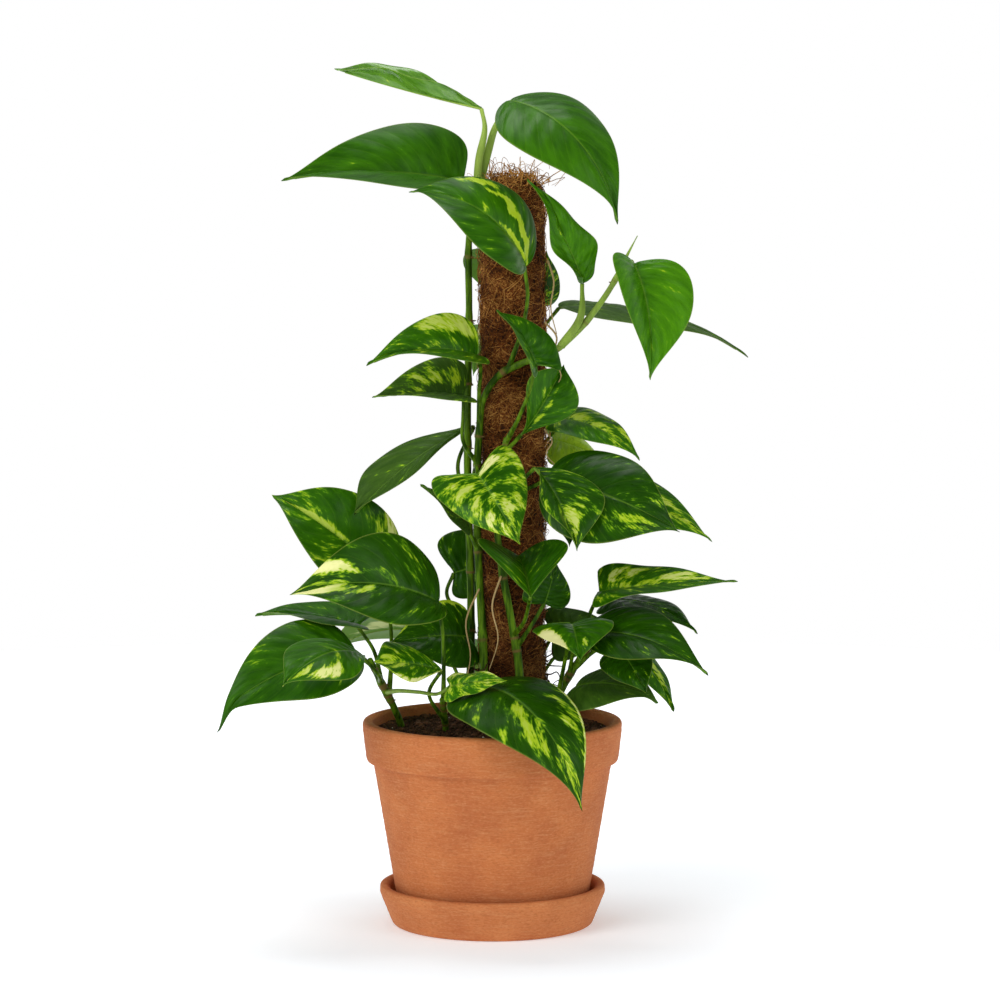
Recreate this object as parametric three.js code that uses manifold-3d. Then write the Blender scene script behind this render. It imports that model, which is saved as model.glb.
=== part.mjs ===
/**
 * Golden pothos (Epipremnum aureum) climbing a coir pole, in a terracotta pot on its saucer.
 *
 * Millimetres, +Z up. The origin is the centre of the saucer's underside and the plant's front is -Y.
 * Pot, saucer, soil and pole are turned shapes. A stem is a tapered tube along a curve. A leaf is one
 * solid: a heart-shaped blade bent along its midrib, its leaf stalk, and the rib under the blade.
 */
import * as THREE from 'three';
import { mergeVertices } from 'three/addons/utils/BufferGeometryUtils.js';
import Module from 'manifold-3d';

const wasm = await Module();
wasm.setup();

// ---------------------------------------------------------------- driving dimensions

const GAP = 0.3; // clearance between pieces that touch

const POT = {
  seat: 6.3, // underside above the ground, on the saucer's floor
  height: 136.7,
  rimRadius: 90,
  bandRadius: 87.5, // rim band at its lower edge
  bandHeight: 28,
  bodyRadius: 82.5, // body under the rim band
  baseRadius: 64.5,
  wall: 7,
  floor: 9,
  drainRadius: 10,
};
const SAUCER = { height: 28, rimRadius: 78.5, baseRadius: 69.5, wall: 6, floor: 6 };
const SOIL = { lift: 4, edgeLevel: 135.5, mound: 3 }; // lift: bottom above the pot's floor
const POLE = {
  x: 14, y: 5,
  coreRadius: 12, coreTop: 506,
  coirRadius: 22.5, coirTopRadius: 20, coirBottom: 60, coirTop: 518,
};
const TURNED_SEGMENTS = 36;
const SOIL_SEGMENTS = 24;
const POLE_SEGMENTS = 16;

const BLADE_THICKNESS = 0.8;
const BLADE_ROWS = 7; // rows of points from the base of a blade to its tip
const STALK_RADIUS = 1.35;
const RIB_RADIUS = 0.9;
const STALK_SIDES = 4;
const STALK_STEP = 18; // length of one straight piece of a stalk
const STEM_SIDES = 6;
const STEM_STEP = 15;
const MERGE_DISTANCE = 1e-4;

// ---------------------------------------------------------------- finishes

const terracotta = { color: 0xc8794f, roughness: 0.85 };
const pottingSoil = { color: 0x3a261a, roughness: 1 };
const coir = { color: 0x7a4a26, roughness: 1 };
const wood = { color: 0xa07a4c, roughness: 0.8 };
const stemSkin = { color: 0x5f8f2e, roughness: 0.5 };
const leafGreen = { color: 0x2f7a24, roughness: 0.35 };
const leafVariegated = { color: 0x6f9f2c, roughness: 0.35 };

// ---------------------------------------------------------------- solids and meshes

/** A copy of a geometry with its positions and faces alone, and each point kept once. */
function mergedCopy(geometry) {
  const bare = geometry.clone();
  bare.deleteAttribute('normal');
  bare.deleteAttribute('uv');
  return mergeVertices(bare, MERGE_DISTANCE);
}

/** Turns a closed three.js geometry into a manifold solid. */
function toSolid(geometry) {
  const merged = mergedCopy(geometry);
  return new wasm.Manifold(new wasm.Mesh({
    numProp: 3,
    vertProperties: new Float32Array(merged.attributes.position.array),
    triVerts: new Uint32Array(merged.index.array),
  }));
}

/** Turns a manifold solid back into a three.js geometry. */
function toGeometry(solid) {
  const { vertProperties, triVerts } = solid.getMesh();
  const geometry = new THREE.BufferGeometry();
  geometry.setAttribute('position', new THREE.BufferAttribute(new Float32Array(vertProperties), 3));
  geometry.setIndex(new THREE.BufferAttribute(new Uint32Array(triVerts), 1));
  geometry.computeVertexNormals();
  return geometry;
}

/** The largest of a solid's separate bodies. */
function largestBody(solid) {
  return solid.decompose().reduce((best, body) => (body.volume() > best.volume() ? body : best));
}

/** A named mesh of a solid in one finish. */
function meshOf(name, solid, finish) {
  const material = new THREE.MeshStandardMaterial({ metalness: 0, ...finish });
  const mesh = new THREE.Mesh(toGeometry(solid), material);
  mesh.name = name;
  return mesh;
}

/** A turned solid from a profile of [radius, height] points that closes on itself or on the axis. */
function turned(profile, segments = TURNED_SEGMENTS) {
  const points = profile.map(([radius, height]) => new THREE.Vector2(radius, height));
  const onAxis = points[0].x === 0 && points.at(-1).x === 0;
  if (!onAxis) points.push(points[0].clone());
  const geometry = new THREE.LatheGeometry(points, segments);
  geometry.rotateX(Math.PI / 2);
  return toSolid(withoutSlivers(geometry));
}

/** Drops the triangles of a lathe that collapse on its axis. */
function withoutSlivers(geometry) {
  const merged = mergedCopy(geometry);
  const kept = [];
  const index = merged.index.array;
  for (let i = 0; i < index.length; i += 3) {
    const [a, b, c] = [index[i], index[i + 1], index[i + 2]];
    if (a !== b && b !== c && c !== a) kept.push(a, b, c);
  }
  merged.setIndex(kept);
  return merged;
}

/** A closed tube along a curve, with its radius given by a function of the place from 0 to 1. */
function sweptTube(curve, radiusAt, sides, steps) {
  const frames = curve.computeFrenetFrames(steps, false);
  const positions = [];
  for (let i = 0; i <= steps; i++) {
    const centre = curve.getPointAt(i / steps);
    const radius = radiusAt(i / steps);
    for (let k = 0; k < sides; k++) {
      const angle = (2 * Math.PI * k) / sides;
      const spoke = frames.normals[i].clone().multiplyScalar(Math.cos(angle) * radius)
        .addScaledVector(frames.binormals[i], Math.sin(angle) * radius);
      positions.push(...spoke.add(centre).toArray());
    }
  }
  const faces = [];
  for (let i = 0; i < steps; i++) {
    for (let k = 0; k < sides; k++) {
      const next = (k + 1) % sides;
      const [a, b] = [i * sides + k, i * sides + next];
      faces.push(a, b, b + sides, a, b + sides, a + sides);
    }
  }
  const last = steps * sides;
  for (let k = 1; k < sides - 1; k++) {
    faces.push(0, k + 1, k);
    faces.push(last, last + k, last + k + 1);
  }
  return solidFrom(positions, faces);
}

/** A solid from flat arrays of positions and faces. */
function solidFrom(positions, faces) {
  const geometry = new THREE.BufferGeometry();
  geometry.setAttribute('position', new THREE.Float32BufferAttribute(positions, 3));
  geometry.setIndex(faces);
  return toSolid(geometry);
}

const vector = ([x, y, z]) => new THREE.Vector3(x, y, z);

// ---------------------------------------------------------------- stems

/**
 * Stems as their route, from under the soil to the tip, and their radius at each end. Each stands in a
 * plain hole in the soil, and the high ones hold on to the pole.
 */
const STEMS = {
  stem_main: {
    radius: [3.1, 1.0],
    route: [[-6, -16, 92], [-6, -15, 138], [-6, -13, 187], [-9, -8, 244], [-11, -4, 300], [-9, -8, 343],
      [-6, -14, 367], [5, -21, 384], [20, -25, 392], [41, -28, 400], [56, -30, 412], [69, -30, 427],
      [82, -28, 446], [91, -26, 464], [99, -24, 479]],
  },
  stem_rear: {
    radius: [3.0, 2.2],
    route: [[-18, 22, 92], [-16, 20, 138], [-15, 19, 230], [-17, 14, 307], [-17, 10, 363], [-16, 8, 426],
      [-16, 4, 475], [-12, -5, 502], [-8, -8, 516]],
  },
  stem_front: {
    radius: [3.3, 2.0],
    route: [[21, -27, 92], [20, -26, 140], [18, -24, 186], [12, -23, 221], [6, -22.5, 255], [3, -22, 285],
      [5, -22.5, 312], [10, -24, 341]],
  },
  stem_left: {
    radius: [3.0, 2.0],
    route: [[-60, 8, 92], [-63, 2, 136], [-68, -8, 152], [-77, -20, 172], [-84, -32, 189]],
  },
  stem_right: {
    radius: [3.2, 2.2],
    route: [[38, -12, 92], [38, -14, 138], [45, -17, 160], [54, -20, 178], [63, -22, 192], [70, -22, 202]],
  },
  stem_near: {
    radius: [2.5, 1.8],
    route: [[-32, -14, 92], [-32, -20, 136], [-33, -34, 152], [-34, -50, 164]],
  },
  stem_back: {
    radius: [3.0, 2.0],
    route: [[26, 40, 92], [24, 38, 138], [18, 33, 210], [24, 31, 290], [22, 32.5, 360], [26, 31, 430]],
  },
};

/** The tapered tube of a stem, grown outwards by a clearance where one is given. */
function stemSolid(stem, clearance = 0) {
  const curve = new THREE.CatmullRomCurve3(stem.route.map(vector));
  const [low, high] = stem.radius;
  const steps = Math.max(8, Math.round(curve.getLength() / STEM_STEP));
  const radiusAt = (place) => THREE.MathUtils.lerp(low, high, place) + clearance;
  return sweptTube(curve, radiusAt, STEM_SIDES, steps);
}

/** The point of a stem's axis at a height above the ground. */
function stemPoint(stem, height) {
  const curve = new THREE.CatmullRomCurve3(stem.route.map(vector));
  let [low, high] = [0, 1];
  for (let i = 0; i < 30; i++) {
    const middle = (low + high) / 2;
    if (curve.getPoint(middle).z < height) low = middle;
    else high = middle;
  }
  return curve.getPoint(low);
}

// ---------------------------------------------------------------- leaves

/**
 * Each leaf: the stem and the height it grows from, bends of its stalk, the base of its blade (where
 * the stalk meets it), its tip, the way its upper side faces, and its width. Angles are in radians:
 * arch is the whole bend of the midrib, fold lifts each half above it, curl rolls the margins down and
 * twist turns the tip. lobe is the reach of the two lobes behind the base, wave the height of the
 * margin's waves in mm, sway the sideways bow of the midrib and lean the share one half is wider by.
 */
const LEAVES = {
  leaf_top_furled: {
    stem: 'stem_rear', node: 508, bends: [[-9, -14, 530], [-5, -13, 552]],
    base: [-7, -9, 566], tip: [-107, -22, 592], face: [0, -0.15, 1],
    width: 36, arch: -0.1, fold: 1, lobe: 0.1, widest: 0.62, wave: 2.5,
  },
  leaf_top_right: {
    stem: 'stem_rear', node: 514, bends: [[-3, -8, 535], [2, -6, 552]],
    base: [12, -6, 571], tip: [85, -35, 491], face: [0.45, -0.6, 0.6],
    width: 90, arch: 1.4, fold: 0.1, lobe: 0.1, widest: 0.34,
  },
  leaf_top_left: {
    stem: 'stem_rear', node: 492, bends: [[-19, 0, 504]],
    base: [-20, 5, 515], tip: [-144, -15, 516], face: [0, -0.57, 0.82],
    width: 86, arch: 0.5, fold: 0.6, lobe: 0.5,
  },
  leaf_top_front: {
    stem: 'stem_main', node: 388, bends: [[20, -36, 415], [24, -46, 438]],
    base: [23, -50, 459], tip: [-56, -49, 509], face: [0.55, -0.55, 0.62],
    width: 76, arch: 1.55, fold: 0.3, lobe: 0.3, widest: 0.42, variegated: true,
  },
  leaf_top_twist: {
    stem: 'stem_main', node: 404, bends: [[60, -34, 424]],
    base: [62, -36, 447], tip: [24, -28, 518], face: [0.6, -0.75, 0.25],
    width: 32, arch: 0.5, fold: 0.6, lobe: 0.2, wave: 6,
  },
  leaf_right_hang: {
    stem: 'stem_main', node: 450, bends: [[94, -36, 462]],
    base: [96, -42, 461], tip: [106, -77, 384], face: [0.55, -0.7, 0.35],
    width: 72, arch: 0.7, fold: 0.6, lobe: 0.3,
  },
  leaf_back_top: {
    stem: 'stem_back', node: 414, bends: [[28, 40, 420]],
    base: [31, 44, 429], tip: [38, 54, 466], face: [0.5, -0.8, 0.1],
    width: 34, arch: 0.7, lobe: 0.2,
  },
  leaf_back_long: {
    stem: 'stem_back', node: 396, bends: [[36, 34, 414]],
    base: [46, 33, 428], tip: [180, 60, 391], face: [0, -0.14, 1],
    width: 68, arch: 0.7, fold: 0.1, lobe: 0.1,
  },
  leaf_left_upper: {
    stem: 'stem_main', node: 343, bends: [[-9, -18, 372], [-8, -28, 390]],
    base: [-10, -36, 398], tip: [-85, -52, 392], face: [-0.1, -0.54, 0.84],
    width: 64, arch: 0.95, fold: 0.6, lobe: 0.35, widest: 0.26, variegated: true,
  },
  leaf_left_lower: {
    stem: 'stem_main', node: 322, bends: [[-20, -14, 338], [-20, -15, 354]],
    base: [-19, -16, 368], tip: [-82, -30, 369], face: [-0.1, -0.54, 0.84],
    width: 60, arch: 0.5, fold: 0.7, lobe: 0.5, widest: 0.26, variegated: true,
  },
  leaf_left_dark: {
    stem: 'stem_rear', node: 290, bends: [[-24, 26, 318]],
    base: [-13, 23, 346], tip: [-95, -14, 287], face: [-0.35, -0.5, 0.8],
    width: 44, arch: 0.5, fold: 0.2, lobe: 0, widest: 0.6, lean: -0.45,
  },
  leaf_over_pole: {
    stem: 'stem_front', node: 338, bends: [[18, -44, 356], [26, -60, 378]],
    base: [30, -62, 393], tip: [3, -50, 430], face: [0.75, -0.5, 0.43],
    width: 44, arch: 0.6, fold: 0.5, curl: 0.3, lobe: 1.1, widest: 0.3,
  },
  leaf_mid_round: {
    stem: 'stem_front', node: 330, bends: [],
    base: [20, -30, 343], tip: [49, -22, 391], face: [0.36, -0.89, 0],
    width: 44, arch: 0.6, fold: 0.6, lobe: 0, widest: 0.6,
  },
  leaf_right_arch: {
    stem: 'stem_back', node: 320, bends: [[42, 18, 341]],
    base: [45, 2, 352], tip: [101, -20, 325], face: [0.2, -0.4, 0.9],
    width: 54, arch: 1, fold: 0.2, lobe: 0.4, variegated: true,
  },
  leaf_right_under: {
    stem: 'stem_back', node: 300, bends: [[36, 28, 326]],
    base: [42, 25, 336], tip: [80, 34, 317], face: [0, -0.45, 0.9],
    width: 54, arch: 0.6,
  },
  leaf_heart: {
    stem: 'stem_main', node: 290, bends: [[-13, -22, 310], [-11, -44, 323]],
    base: [-10, -55, 319], tip: [19, -85, 274], face: [-0.05, -0.85, 0.5],
    width: 63, arch: 0.5, fold: 0.1, lobe: 1.5, variegated: true,
  },
  leaf_heart_behind: {
    stem: 'stem_main', node: 262, bends: [[-16, -14, 276]],
    base: [-16, -26, 282], tip: [-49, -35, 310], face: [0.5, -0.4, 0.75],
    width: 26, arch: 0.4,
  },
  leaf_right_big: {
    stem: 'stem_front', node: 300, bends: [[22, -32, 306]],
    base: [36, -42, 314], tip: [127, -62, 280], face: [0.2, -0.82, 0.55],
    width: 79, arch: 0.8, fold: 0.1, lobe: 0.3, widest: 0.42, variegated: true,
  },
  leaf_right_striped: {
    stem: 'stem_front', node: 286, bends: [[13, -43, 304], [24, -54, 318]],
    base: [29, -60, 324], tip: [57, -88, 270], face: [0.51, -0.69, 0.5],
    width: 56, arch: 0.7, fold: 0.6, lobe: -0.1, widest: 0.5, lean: 0.2, variegated: true,
  },
  leaf_right_outer: {
    stem: 'stem_back', node: 280, bends: [[40, 14, 296], [54, 8, 303]],
    base: [68, 2, 306], tip: [151, -20, 269], face: [0.25, -0.6, 0.8],
    width: 58, arch: 0.7, fold: 0.1, lobe: 0.5, variegated: true,
  },
  leaf_low_left_upper: {
    stem: 'stem_left', node: 160, bends: [[-70, 4, 190], [-72, 10, 220]],
    base: [-75, 8, 238], tip: [-152, -6, 300], face: [0.43, -0.82, 0.39],
    width: 70, arch: 0.9, fold: 0.5, lobe: 0.6, widest: 0.5, wave: 2.5, variegated: true,
  },
  leaf_low_left_big: {
    stem: 'stem_near', node: 158, bends: [[-33, -52, 190], [-34, -57, 215]],
    base: [-36, -60, 232], tip: [-136, -85, 240], face: [0, -0.5, 0.87],
    width: 82, arch: 1, fold: 0.45, twist: -0.8, lobe: 0.25, variegated: true,
  },
  leaf_low_left_thin: {
    stem: 'stem_left', node: 170, bends: [[-82, -8, 192]],
    base: [-92, -8, 209], tip: [-164, -8, 216], face: [0.2, -0.15, 0.97],
    width: 56, arch: 0.5, fold: 0.4,
  },
  leaf_low_left_out: {
    stem: 'stem_left', node: 184, bends: [],
    base: [-93, -36, 194], tip: [-187, -62, 155], face: [-0.2, -0.6, 0.78],
    width: 74, arch: 0.9, fold: 0.35, twist: -0.4, lobe: 0.2,
  },
  leaf_low_left_curl: {
    stem: 'stem_left', node: 172, bends: [[-78, -52, 182]],
    base: [-86, -64, 195], tip: [-139, -120, 183], face: [-0.15, -0.6, 0.78],
    width: 58, arch: 1.4, fold: 0.1, lobe: 0, widest: 0.55, variegated: true,
  },
  leaf_low_left_dark: {
    stem: 'stem_rear', node: 170, bends: [[-18, 12, 190]],
    base: [-16, 6, 200], tip: [-72, -8, 197], face: [0, -0.75, 0.65],
    width: 58, arch: 0.6, fold: 0.3, lobe: 0.6,
  },
  leaf_low_left_near: {
    stem: 'stem_near', node: 146, bends: [[-43, -50, 168]],
    base: [-34, -70, 187], tip: [-79, -92, 196], face: [-0.1, -0.6, 0.8],
    width: 44, arch: 0.4, fold: 0.25, lobe: 0.4, widest: 0.66, variegated: true,
  },
  leaf_front_strip: {
    stem: 'stem_left', node: 164, bends: [[-64, -36, 168], [-50, -56, 170], [-37, -71, 171]],
    base: [-29, -80, 178], tip: [10, -86, 182], face: [0, -0.5, 0.85],
    width: 30, arch: 0.4, wave: 2, variegated: true,
  },
  leaf_front_big: {
    stem: 'stem_near', node: 163, bends: [],
    base: [-8, -66, 176], tip: [60, -125, 100], face: [0.5, -0.75, 0.45],
    width: 86, arch: 1.6, fold: 0.1, lobe: 0.4, variegated: true,
  },
  leaf_low_right_dull: {
    stem: 'stem_right', node: 150, bends: [[52, -22, 160]],
    base: [57, -28, 170], tip: [113, -60, 166], face: [0.1, -0.5, 0.85],
    width: 64, arch: 0.8, lobe: 0.4,
  },
  leaf_low_right_tip: {
    stem: 'stem_right', node: 191, bends: [[80, -10, 198]],
    base: [93, 1, 196], tip: [125, -26, 152], face: [0.6, -0.5, 0.6],
    width: 36, arch: 0.6, variegated: true,
  },
  leaf_low_right_dark: {
    stem: 'stem_right', node: 180, bends: [[74, -34, 197]],
    base: [88, -46, 198], tip: [105, -64, 170], face: [0, -0.8, 0.5],
    width: 38, arch: 0.5,
  },
  leaf_low_right_wide: {
    stem: 'stem_right', node: 176, bends: [[56, -30, 196]],
    base: [60, -40, 207], tip: [146, -75, 184], face: [0.1, -0.5, 0.86],
    width: 66, arch: 1.15, fold: 0.3, lobe: -0.2,
  },
  leaf_low_right_front: {
    stem: 'stem_right', node: 160, bends: [[50, -36, 190]],
    base: [54, -56, 217], tip: [59, -104, 197], face: [0, -0.7, 0.7],
    width: 56, arch: 0.8, fold: 0.2, variegated: true,
  },
  leaf_low_right_mid: {
    stem: 'stem_right', node: 195, bends: [[80, -8, 214]],
    base: [84, 2, 226], tip: [141, -26, 206], face: [0.2, -0.3, 0.93],
    width: 46, arch: 0.9,
  },
  leaf_low_right_top: {
    stem: 'stem_right', node: 196, bends: [[66, -18, 214]],
    base: [73, -32, 236], tip: [167, -50, 245], face: [-0.1, -0.42, 0.9],
    width: 50, arch: 0.2, fold: 0.4, lobe: 0.5, widest: 0.22, wave: 3, variegated: true,
  },
  leaf_centre_front: {
    stem: 'stem_front', node: 205, bends: [[22, -50, 218]],
    base: [26, -72, 237], tip: [18, -32, 261], face: [0.15, -0.55, 0.83],
    width: 80, arch: 0.5, fold: 0.85, curl: 0.35, twist: 0, lobe: 0, widest: 0.5, sway: 0, lean: 0.18,
  },
  leaf_centre_dark: {
    stem: 'stem_front', node: 196, bends: [[28, -29, 214]],
    base: [36, -29, 227], tip: [44, -31, 257], face: [0.3, -0.9, 0.3],
    width: 34, arch: 0.5,
  },
  leaf_behind_left: {
    stem: 'stem_rear', node: 205, bends: [[-32, 36, 226]],
    base: [-27, 37, 241], tip: [31, 60, 254], face: [0, -1, 0.3],
    width: 50, arch: 0.4, lobe: 0.8, widest: 0.36, lean: 0.18,
  },
  leaf_behind_grey: {
    stem: 'stem_back', node: 160, bends: [[36, 30, 186]],
    base: [42, 22, 200], tip: [84, 30, 204], face: [0, -0.8, 0.6],
    width: 44, arch: 0.5,
  },
  leaf_behind_right: {
    stem: 'stem_back', node: 290, bends: [[42, 36, 304]],
    base: [50, 33, 309], tip: [54, 30, 260], face: [0.3, -0.95, 0.1],
    width: 40, arch: 0.4,
  },
  leaf_rear_low_left: {
    stem: 'stem_rear', node: 150, bends: [[-30, 40, 180]],
    base: [-42, 52, 196], tip: [-120, 92, 176], face: [-0.2, 0.5, 0.85],
    width: 72, arch: 0.9, fold: 0.2, variegated: true,
  },
  leaf_rear_low_mid: {
    stem: 'stem_back', node: 145, bends: [[20, 56, 170]],
    base: [8, 70, 186], tip: [-12, 146, 142], face: [0, 0.5, 0.87],
    width: 72, arch: 1.1, fold: 0.2, lobe: 0.3,
  },
  leaf_rear_low_right: {
    stem: 'stem_back', node: 150, bends: [[44, 48, 180]],
    base: [58, 54, 194], tip: [126, 90, 182], face: [0.1, 0.45, 0.9],
    width: 66, arch: 0.9, fold: 0.2, lobe: 0.4,
  },
  leaf_rear_mid_low: {
    stem: 'stem_back', node: 240, bends: [[12, 46, 280]],
    base: [8, 58, 300], tip: [2, 124, 262], face: [-0.2, 0.6, 0.77],
    width: 56, arch: 0.9, fold: 0.2,
  },
  leaf_rear_mid: {
    stem: 'stem_back', node: 300, bends: [[32, 50, 332]],
    base: [36, 60, 352], tip: [54, 130, 316], face: [0.2, 0.6, 0.8],
    width: 68, arch: 1, fold: 0.2, variegated: true,
  },
  leaf_rear_high: {
    stem: 'stem_back', node: 380, bends: [[18, 48, 400]],
    base: [10, 58, 412], tip: [-14, 118, 374], face: [-0.2, 0.7, 0.7],
    width: 66, arch: 1, fold: 0.2, lobe: 0.4, variegated: true,
  },
  leaf_rear_top: {
    stem: 'stem_back', node: 426, bends: [[14, 42, 446]],
    base: [6, 54, 466], tip: [6, 102, 420], face: [0, 0.8, 0.6],
    width: 54, arch: 0.9, fold: 0.2, lobe: 0.4,
  },
};

const LEAF_DEFAULTS = {
  arch: 0.6, fold: 0.1, curl: 0.5, twist: 0, lobe: 0.8, widest: 0.33, wave: 1, sway: 0, lean: 0,
};

/** The flat outline of a leaf's heart-shaped blade at u, from the base (0) to the tip (1). */
function outlineAt(leaf, u) {
  const bulge = Math.log(0.5) / Math.log(leaf.widest);
  return {
    along: u - leaf.lobe * Math.sin(Math.PI * u) * (1 - u) ** 3,
    across: Math.sin(Math.PI * u ** bulge) ** (1 + 0.5 * u),
  };
}

/** A function that bends a flat point (along from 0 to 1, across from -1 to 1) into a leaf's blade. */
function bladeBend(leaf) {
  const [base, tip] = [vector(leaf.base), vector(leaf.tip)];
  const run = tip.clone().sub(base);
  const chord = run.length();
  const ahead = run.clone().normalize();
  const face = vector(leaf.face);
  const up = face.addScaledVector(ahead, -face.dot(ahead)).normalize();
  const side = new THREE.Vector3().crossVectors(up, ahead);
  const half = leaf.arch / 2;
  const radius = chord / (2 * Math.sin(half));
  const halfWidth = leaf.width / 2;
  const curl = Math.max(leaf.curl, 1e-3);
  return (along, across) => {
    const angle = half - leaf.arch * along;
    const sway = leaf.sway * chord * 4 * along * (1 - along);
    const spine = base.clone()
      .addScaledVector(ahead, radius * (Math.sin(half) - Math.sin(angle)))
      .addScaledVector(up, radius * (Math.cos(angle) - Math.cos(half)))
      .addScaledVector(side, sway);
    const normal = up.clone().multiplyScalar(Math.cos(angle)).addScaledVector(ahead, -Math.sin(angle));
    const turn = leaf.twist * along;
    const width = side.clone().multiplyScalar(Math.cos(turn)).addScaledVector(normal, Math.sin(turn));
    const lift = normal.clone().multiplyScalar(Math.cos(turn)).addScaledVector(side, -Math.sin(turn));
    const reach = Math.abs(across);
    const spread = (Math.sin(leaf.fold) - Math.sin(leaf.fold - curl * reach)) / curl;
    const rise = (Math.cos(leaf.fold - curl * reach) - Math.cos(leaf.fold)) / curl;
    const lean = 1 + leaf.lean * Math.sign(across);
    const ripple = leaf.wave * reach ** 2 * Math.sin(2 * Math.PI * 1.5 * along + Math.sign(across));
    return spine
      .addScaledVector(width, Math.sign(across) * spread * halfWidth * lean)
      .addScaledVector(lift, rise * halfWidth + ripple);
  };
}

/** The thin closed solid of a blade, with the same triangles on both faces. */
function bladeSolid(leaf) {
  const bend = bladeBend(leaf);
  const spans = [-1, -0.5, 0, 0.5, 1];
  const centre = spans.indexOf(0);
  const points = [bend(0, 0)];
  const rows = [spans.map(() => 0)];
  for (let i = 1; i < BLADE_ROWS; i++) {
    const place = (i / BLADE_ROWS) ** 1.25;
    const margin = outlineAt(leaf, place);
    const rib = place ** 1.6;
    rows.push(spans.map((span) => {
      const along = THREE.MathUtils.lerp(rib, margin.along, Math.abs(span));
      points.push(bend(along, span * margin.across));
      return points.length - 1;
    }));
  }
  points.push(bend(1, 0));
  rows.push(spans.map(() => points.length - 1));

  const faces = [];
  const addFace = (...corners) => {
    if (new Set(corners).size === 3) faces.push(corners);
  };
  for (let i = 0; i < BLADE_ROWS; i++) {
    for (let k = 0; k < spans.length - 1; k++) {
      const [a, b, c, d] = [rows[i][k], rows[i][k + 1], rows[i + 1][k + 1], rows[i + 1][k]];
      if (k < centre) {
        addFace(a, b, c);
        addFace(a, c, d);
      } else {
        addFace(a, b, d);
        addFace(b, c, d);
      }
    }
  }
  const margin = [
    ...rows.map((row) => row[0]),
    ...rows.slice(1, -1).reverse().map((row) => row.at(-1)),
  ];
  return shellSolid(points, faces, margin, BLADE_THICKNESS);
}

/** A thin solid of even thickness about an open sheet of triangles with the given margin. */
function shellSolid(points, sheet, margin, thickness) {
  const normals = points.map(() => new THREE.Vector3());
  for (const [a, b, c] of sheet) {
    const normal = points[b].clone().sub(points[a]).cross(points[c].clone().sub(points[a]));
    for (const corner of [a, b, c]) normals[corner].add(normal);
  }
  normals.forEach((normal) => normal.normalize());
  const offset = (sign) => points.flatMap((point, i) => (
    point.clone().addScaledVector(normals[i], (sign * thickness) / 2).toArray()
  ));
  const count = points.length;
  const faces = sheet.flatMap(([a, b, c]) => [a, b, c, a + count, c + count, b + count]);
  margin.forEach((from, i) => {
    const to = margin[(i + 1) % margin.length];
    faces.push(from, to, to + count, from, to + count, from + count);
  });
  return solidFrom([...offset(1), ...offset(-1)], faces);
}

/** The leaf stalk, from the axis of its stem to just under the base of the blade. */
function stalkSolid(leaf, clearance = 0) {
  const bend = bladeBend(leaf);
  const start = stemPoint(STEMS[leaf.stem], leaf.node);
  const under = underside(leaf, bend, 0, BLADE_THICKNESS / 2 + RIB_RADIUS);
  const curve = new THREE.CatmullRomCurve3([start, ...leaf.bends.map(vector), under], false, 'centripetal');
  const steps = Math.max(4, Math.round(curve.getLength() / STALK_STEP));
  return sweptTube(curve, (place) => STALK_RADIUS * (1.15 - 0.25 * place) + clearance, STALK_SIDES, steps);
}

/** A point at a depth under the midrib of a blade. */
function underside(leaf, bend, along, depth) {
  const left = bend(along, -0.02);
  const right = bend(along, 0.02);
  const ahead = bend(along + 0.01, 0).sub(bend(along, 0));
  const normal = ahead.cross(right.sub(left)).normalize();
  const face = vector(leaf.face);
  if (normal.dot(face) < 0) normal.negate();
  return bend(along, 0).addScaledVector(normal, -depth);
}

/** The thick part of the midrib that stands out under the first part of the blade. */
function ribSolid(leaf) {
  const bend = bladeBend(leaf);
  const places = [[0, BLADE_THICKNESS / 2 + RIB_RADIUS], [0.08, RIB_RADIUS], [0.2, 0.75]];
  const points = places.map(([along, depth]) => underside(leaf, bend, along, depth));
  const overlap = points[0].clone().sub(points[1]).setLength(1.2);
  points[0].add(overlap);
  const curve = new THREE.CatmullRomCurve3(points);
  return sweptTube(curve, (place) => RIB_RADIUS * (1.1 - 0.6 * place), STALK_SIDES, 2);
}

/** A whole leaf: blade, stalk and rib in one body, clear of the stem that carries it. */
function leafSolid(leaf) {
  const whole = bladeSolid(leaf).add(stalkSolid(leaf)).add(ribSolid(leaf));
  return largestBody(whole.subtract(stemSolid(STEMS[leaf.stem], GAP)));
}

// ---------------------------------------------------------------- pot, saucer, soil and pole

/** The pot: a tapered cup with a rim band and a drain hole through its floor. */
function potSolid() {
  const top = POT.seat + POT.height;
  const bandBottom = top - POT.bandHeight;
  const innerTop = POT.rimRadius - POT.wall;
  const innerBase = POT.baseRadius - POT.wall;
  const floorTop = POT.seat + POT.floor;
  return turned([
    [POT.drainRadius, POT.seat],
    [POT.baseRadius - 2, POT.seat],
    [POT.baseRadius, POT.seat + 2],
    [POT.bodyRadius, bandBottom - 4],
    [POT.bodyRadius + 1, bandBottom - 1],
    [POT.bandRadius, bandBottom],
    [POT.rimRadius, top - 3],
    [POT.rimRadius - 1, top - 0.8],
    [POT.rimRadius - 3, top],
    [innerTop + 2.5, top],
    [innerTop, top - 2.5],
    [innerBase + 3, floorTop + 3],
    [innerBase, floorTop],
    [POT.drainRadius, floorTop],
  ]);
}

/** The radius of the pot's inner wall at a height above the ground. */
function potInnerRadius(height) {
  const low = POT.seat + POT.floor + 3;
  const high = POT.seat + POT.height - 2.5;
  const share = (height - low) / (high - low);
  return THREE.MathUtils.lerp(POT.baseRadius - POT.wall + 3, POT.rimRadius - POT.wall, share);
}

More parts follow.
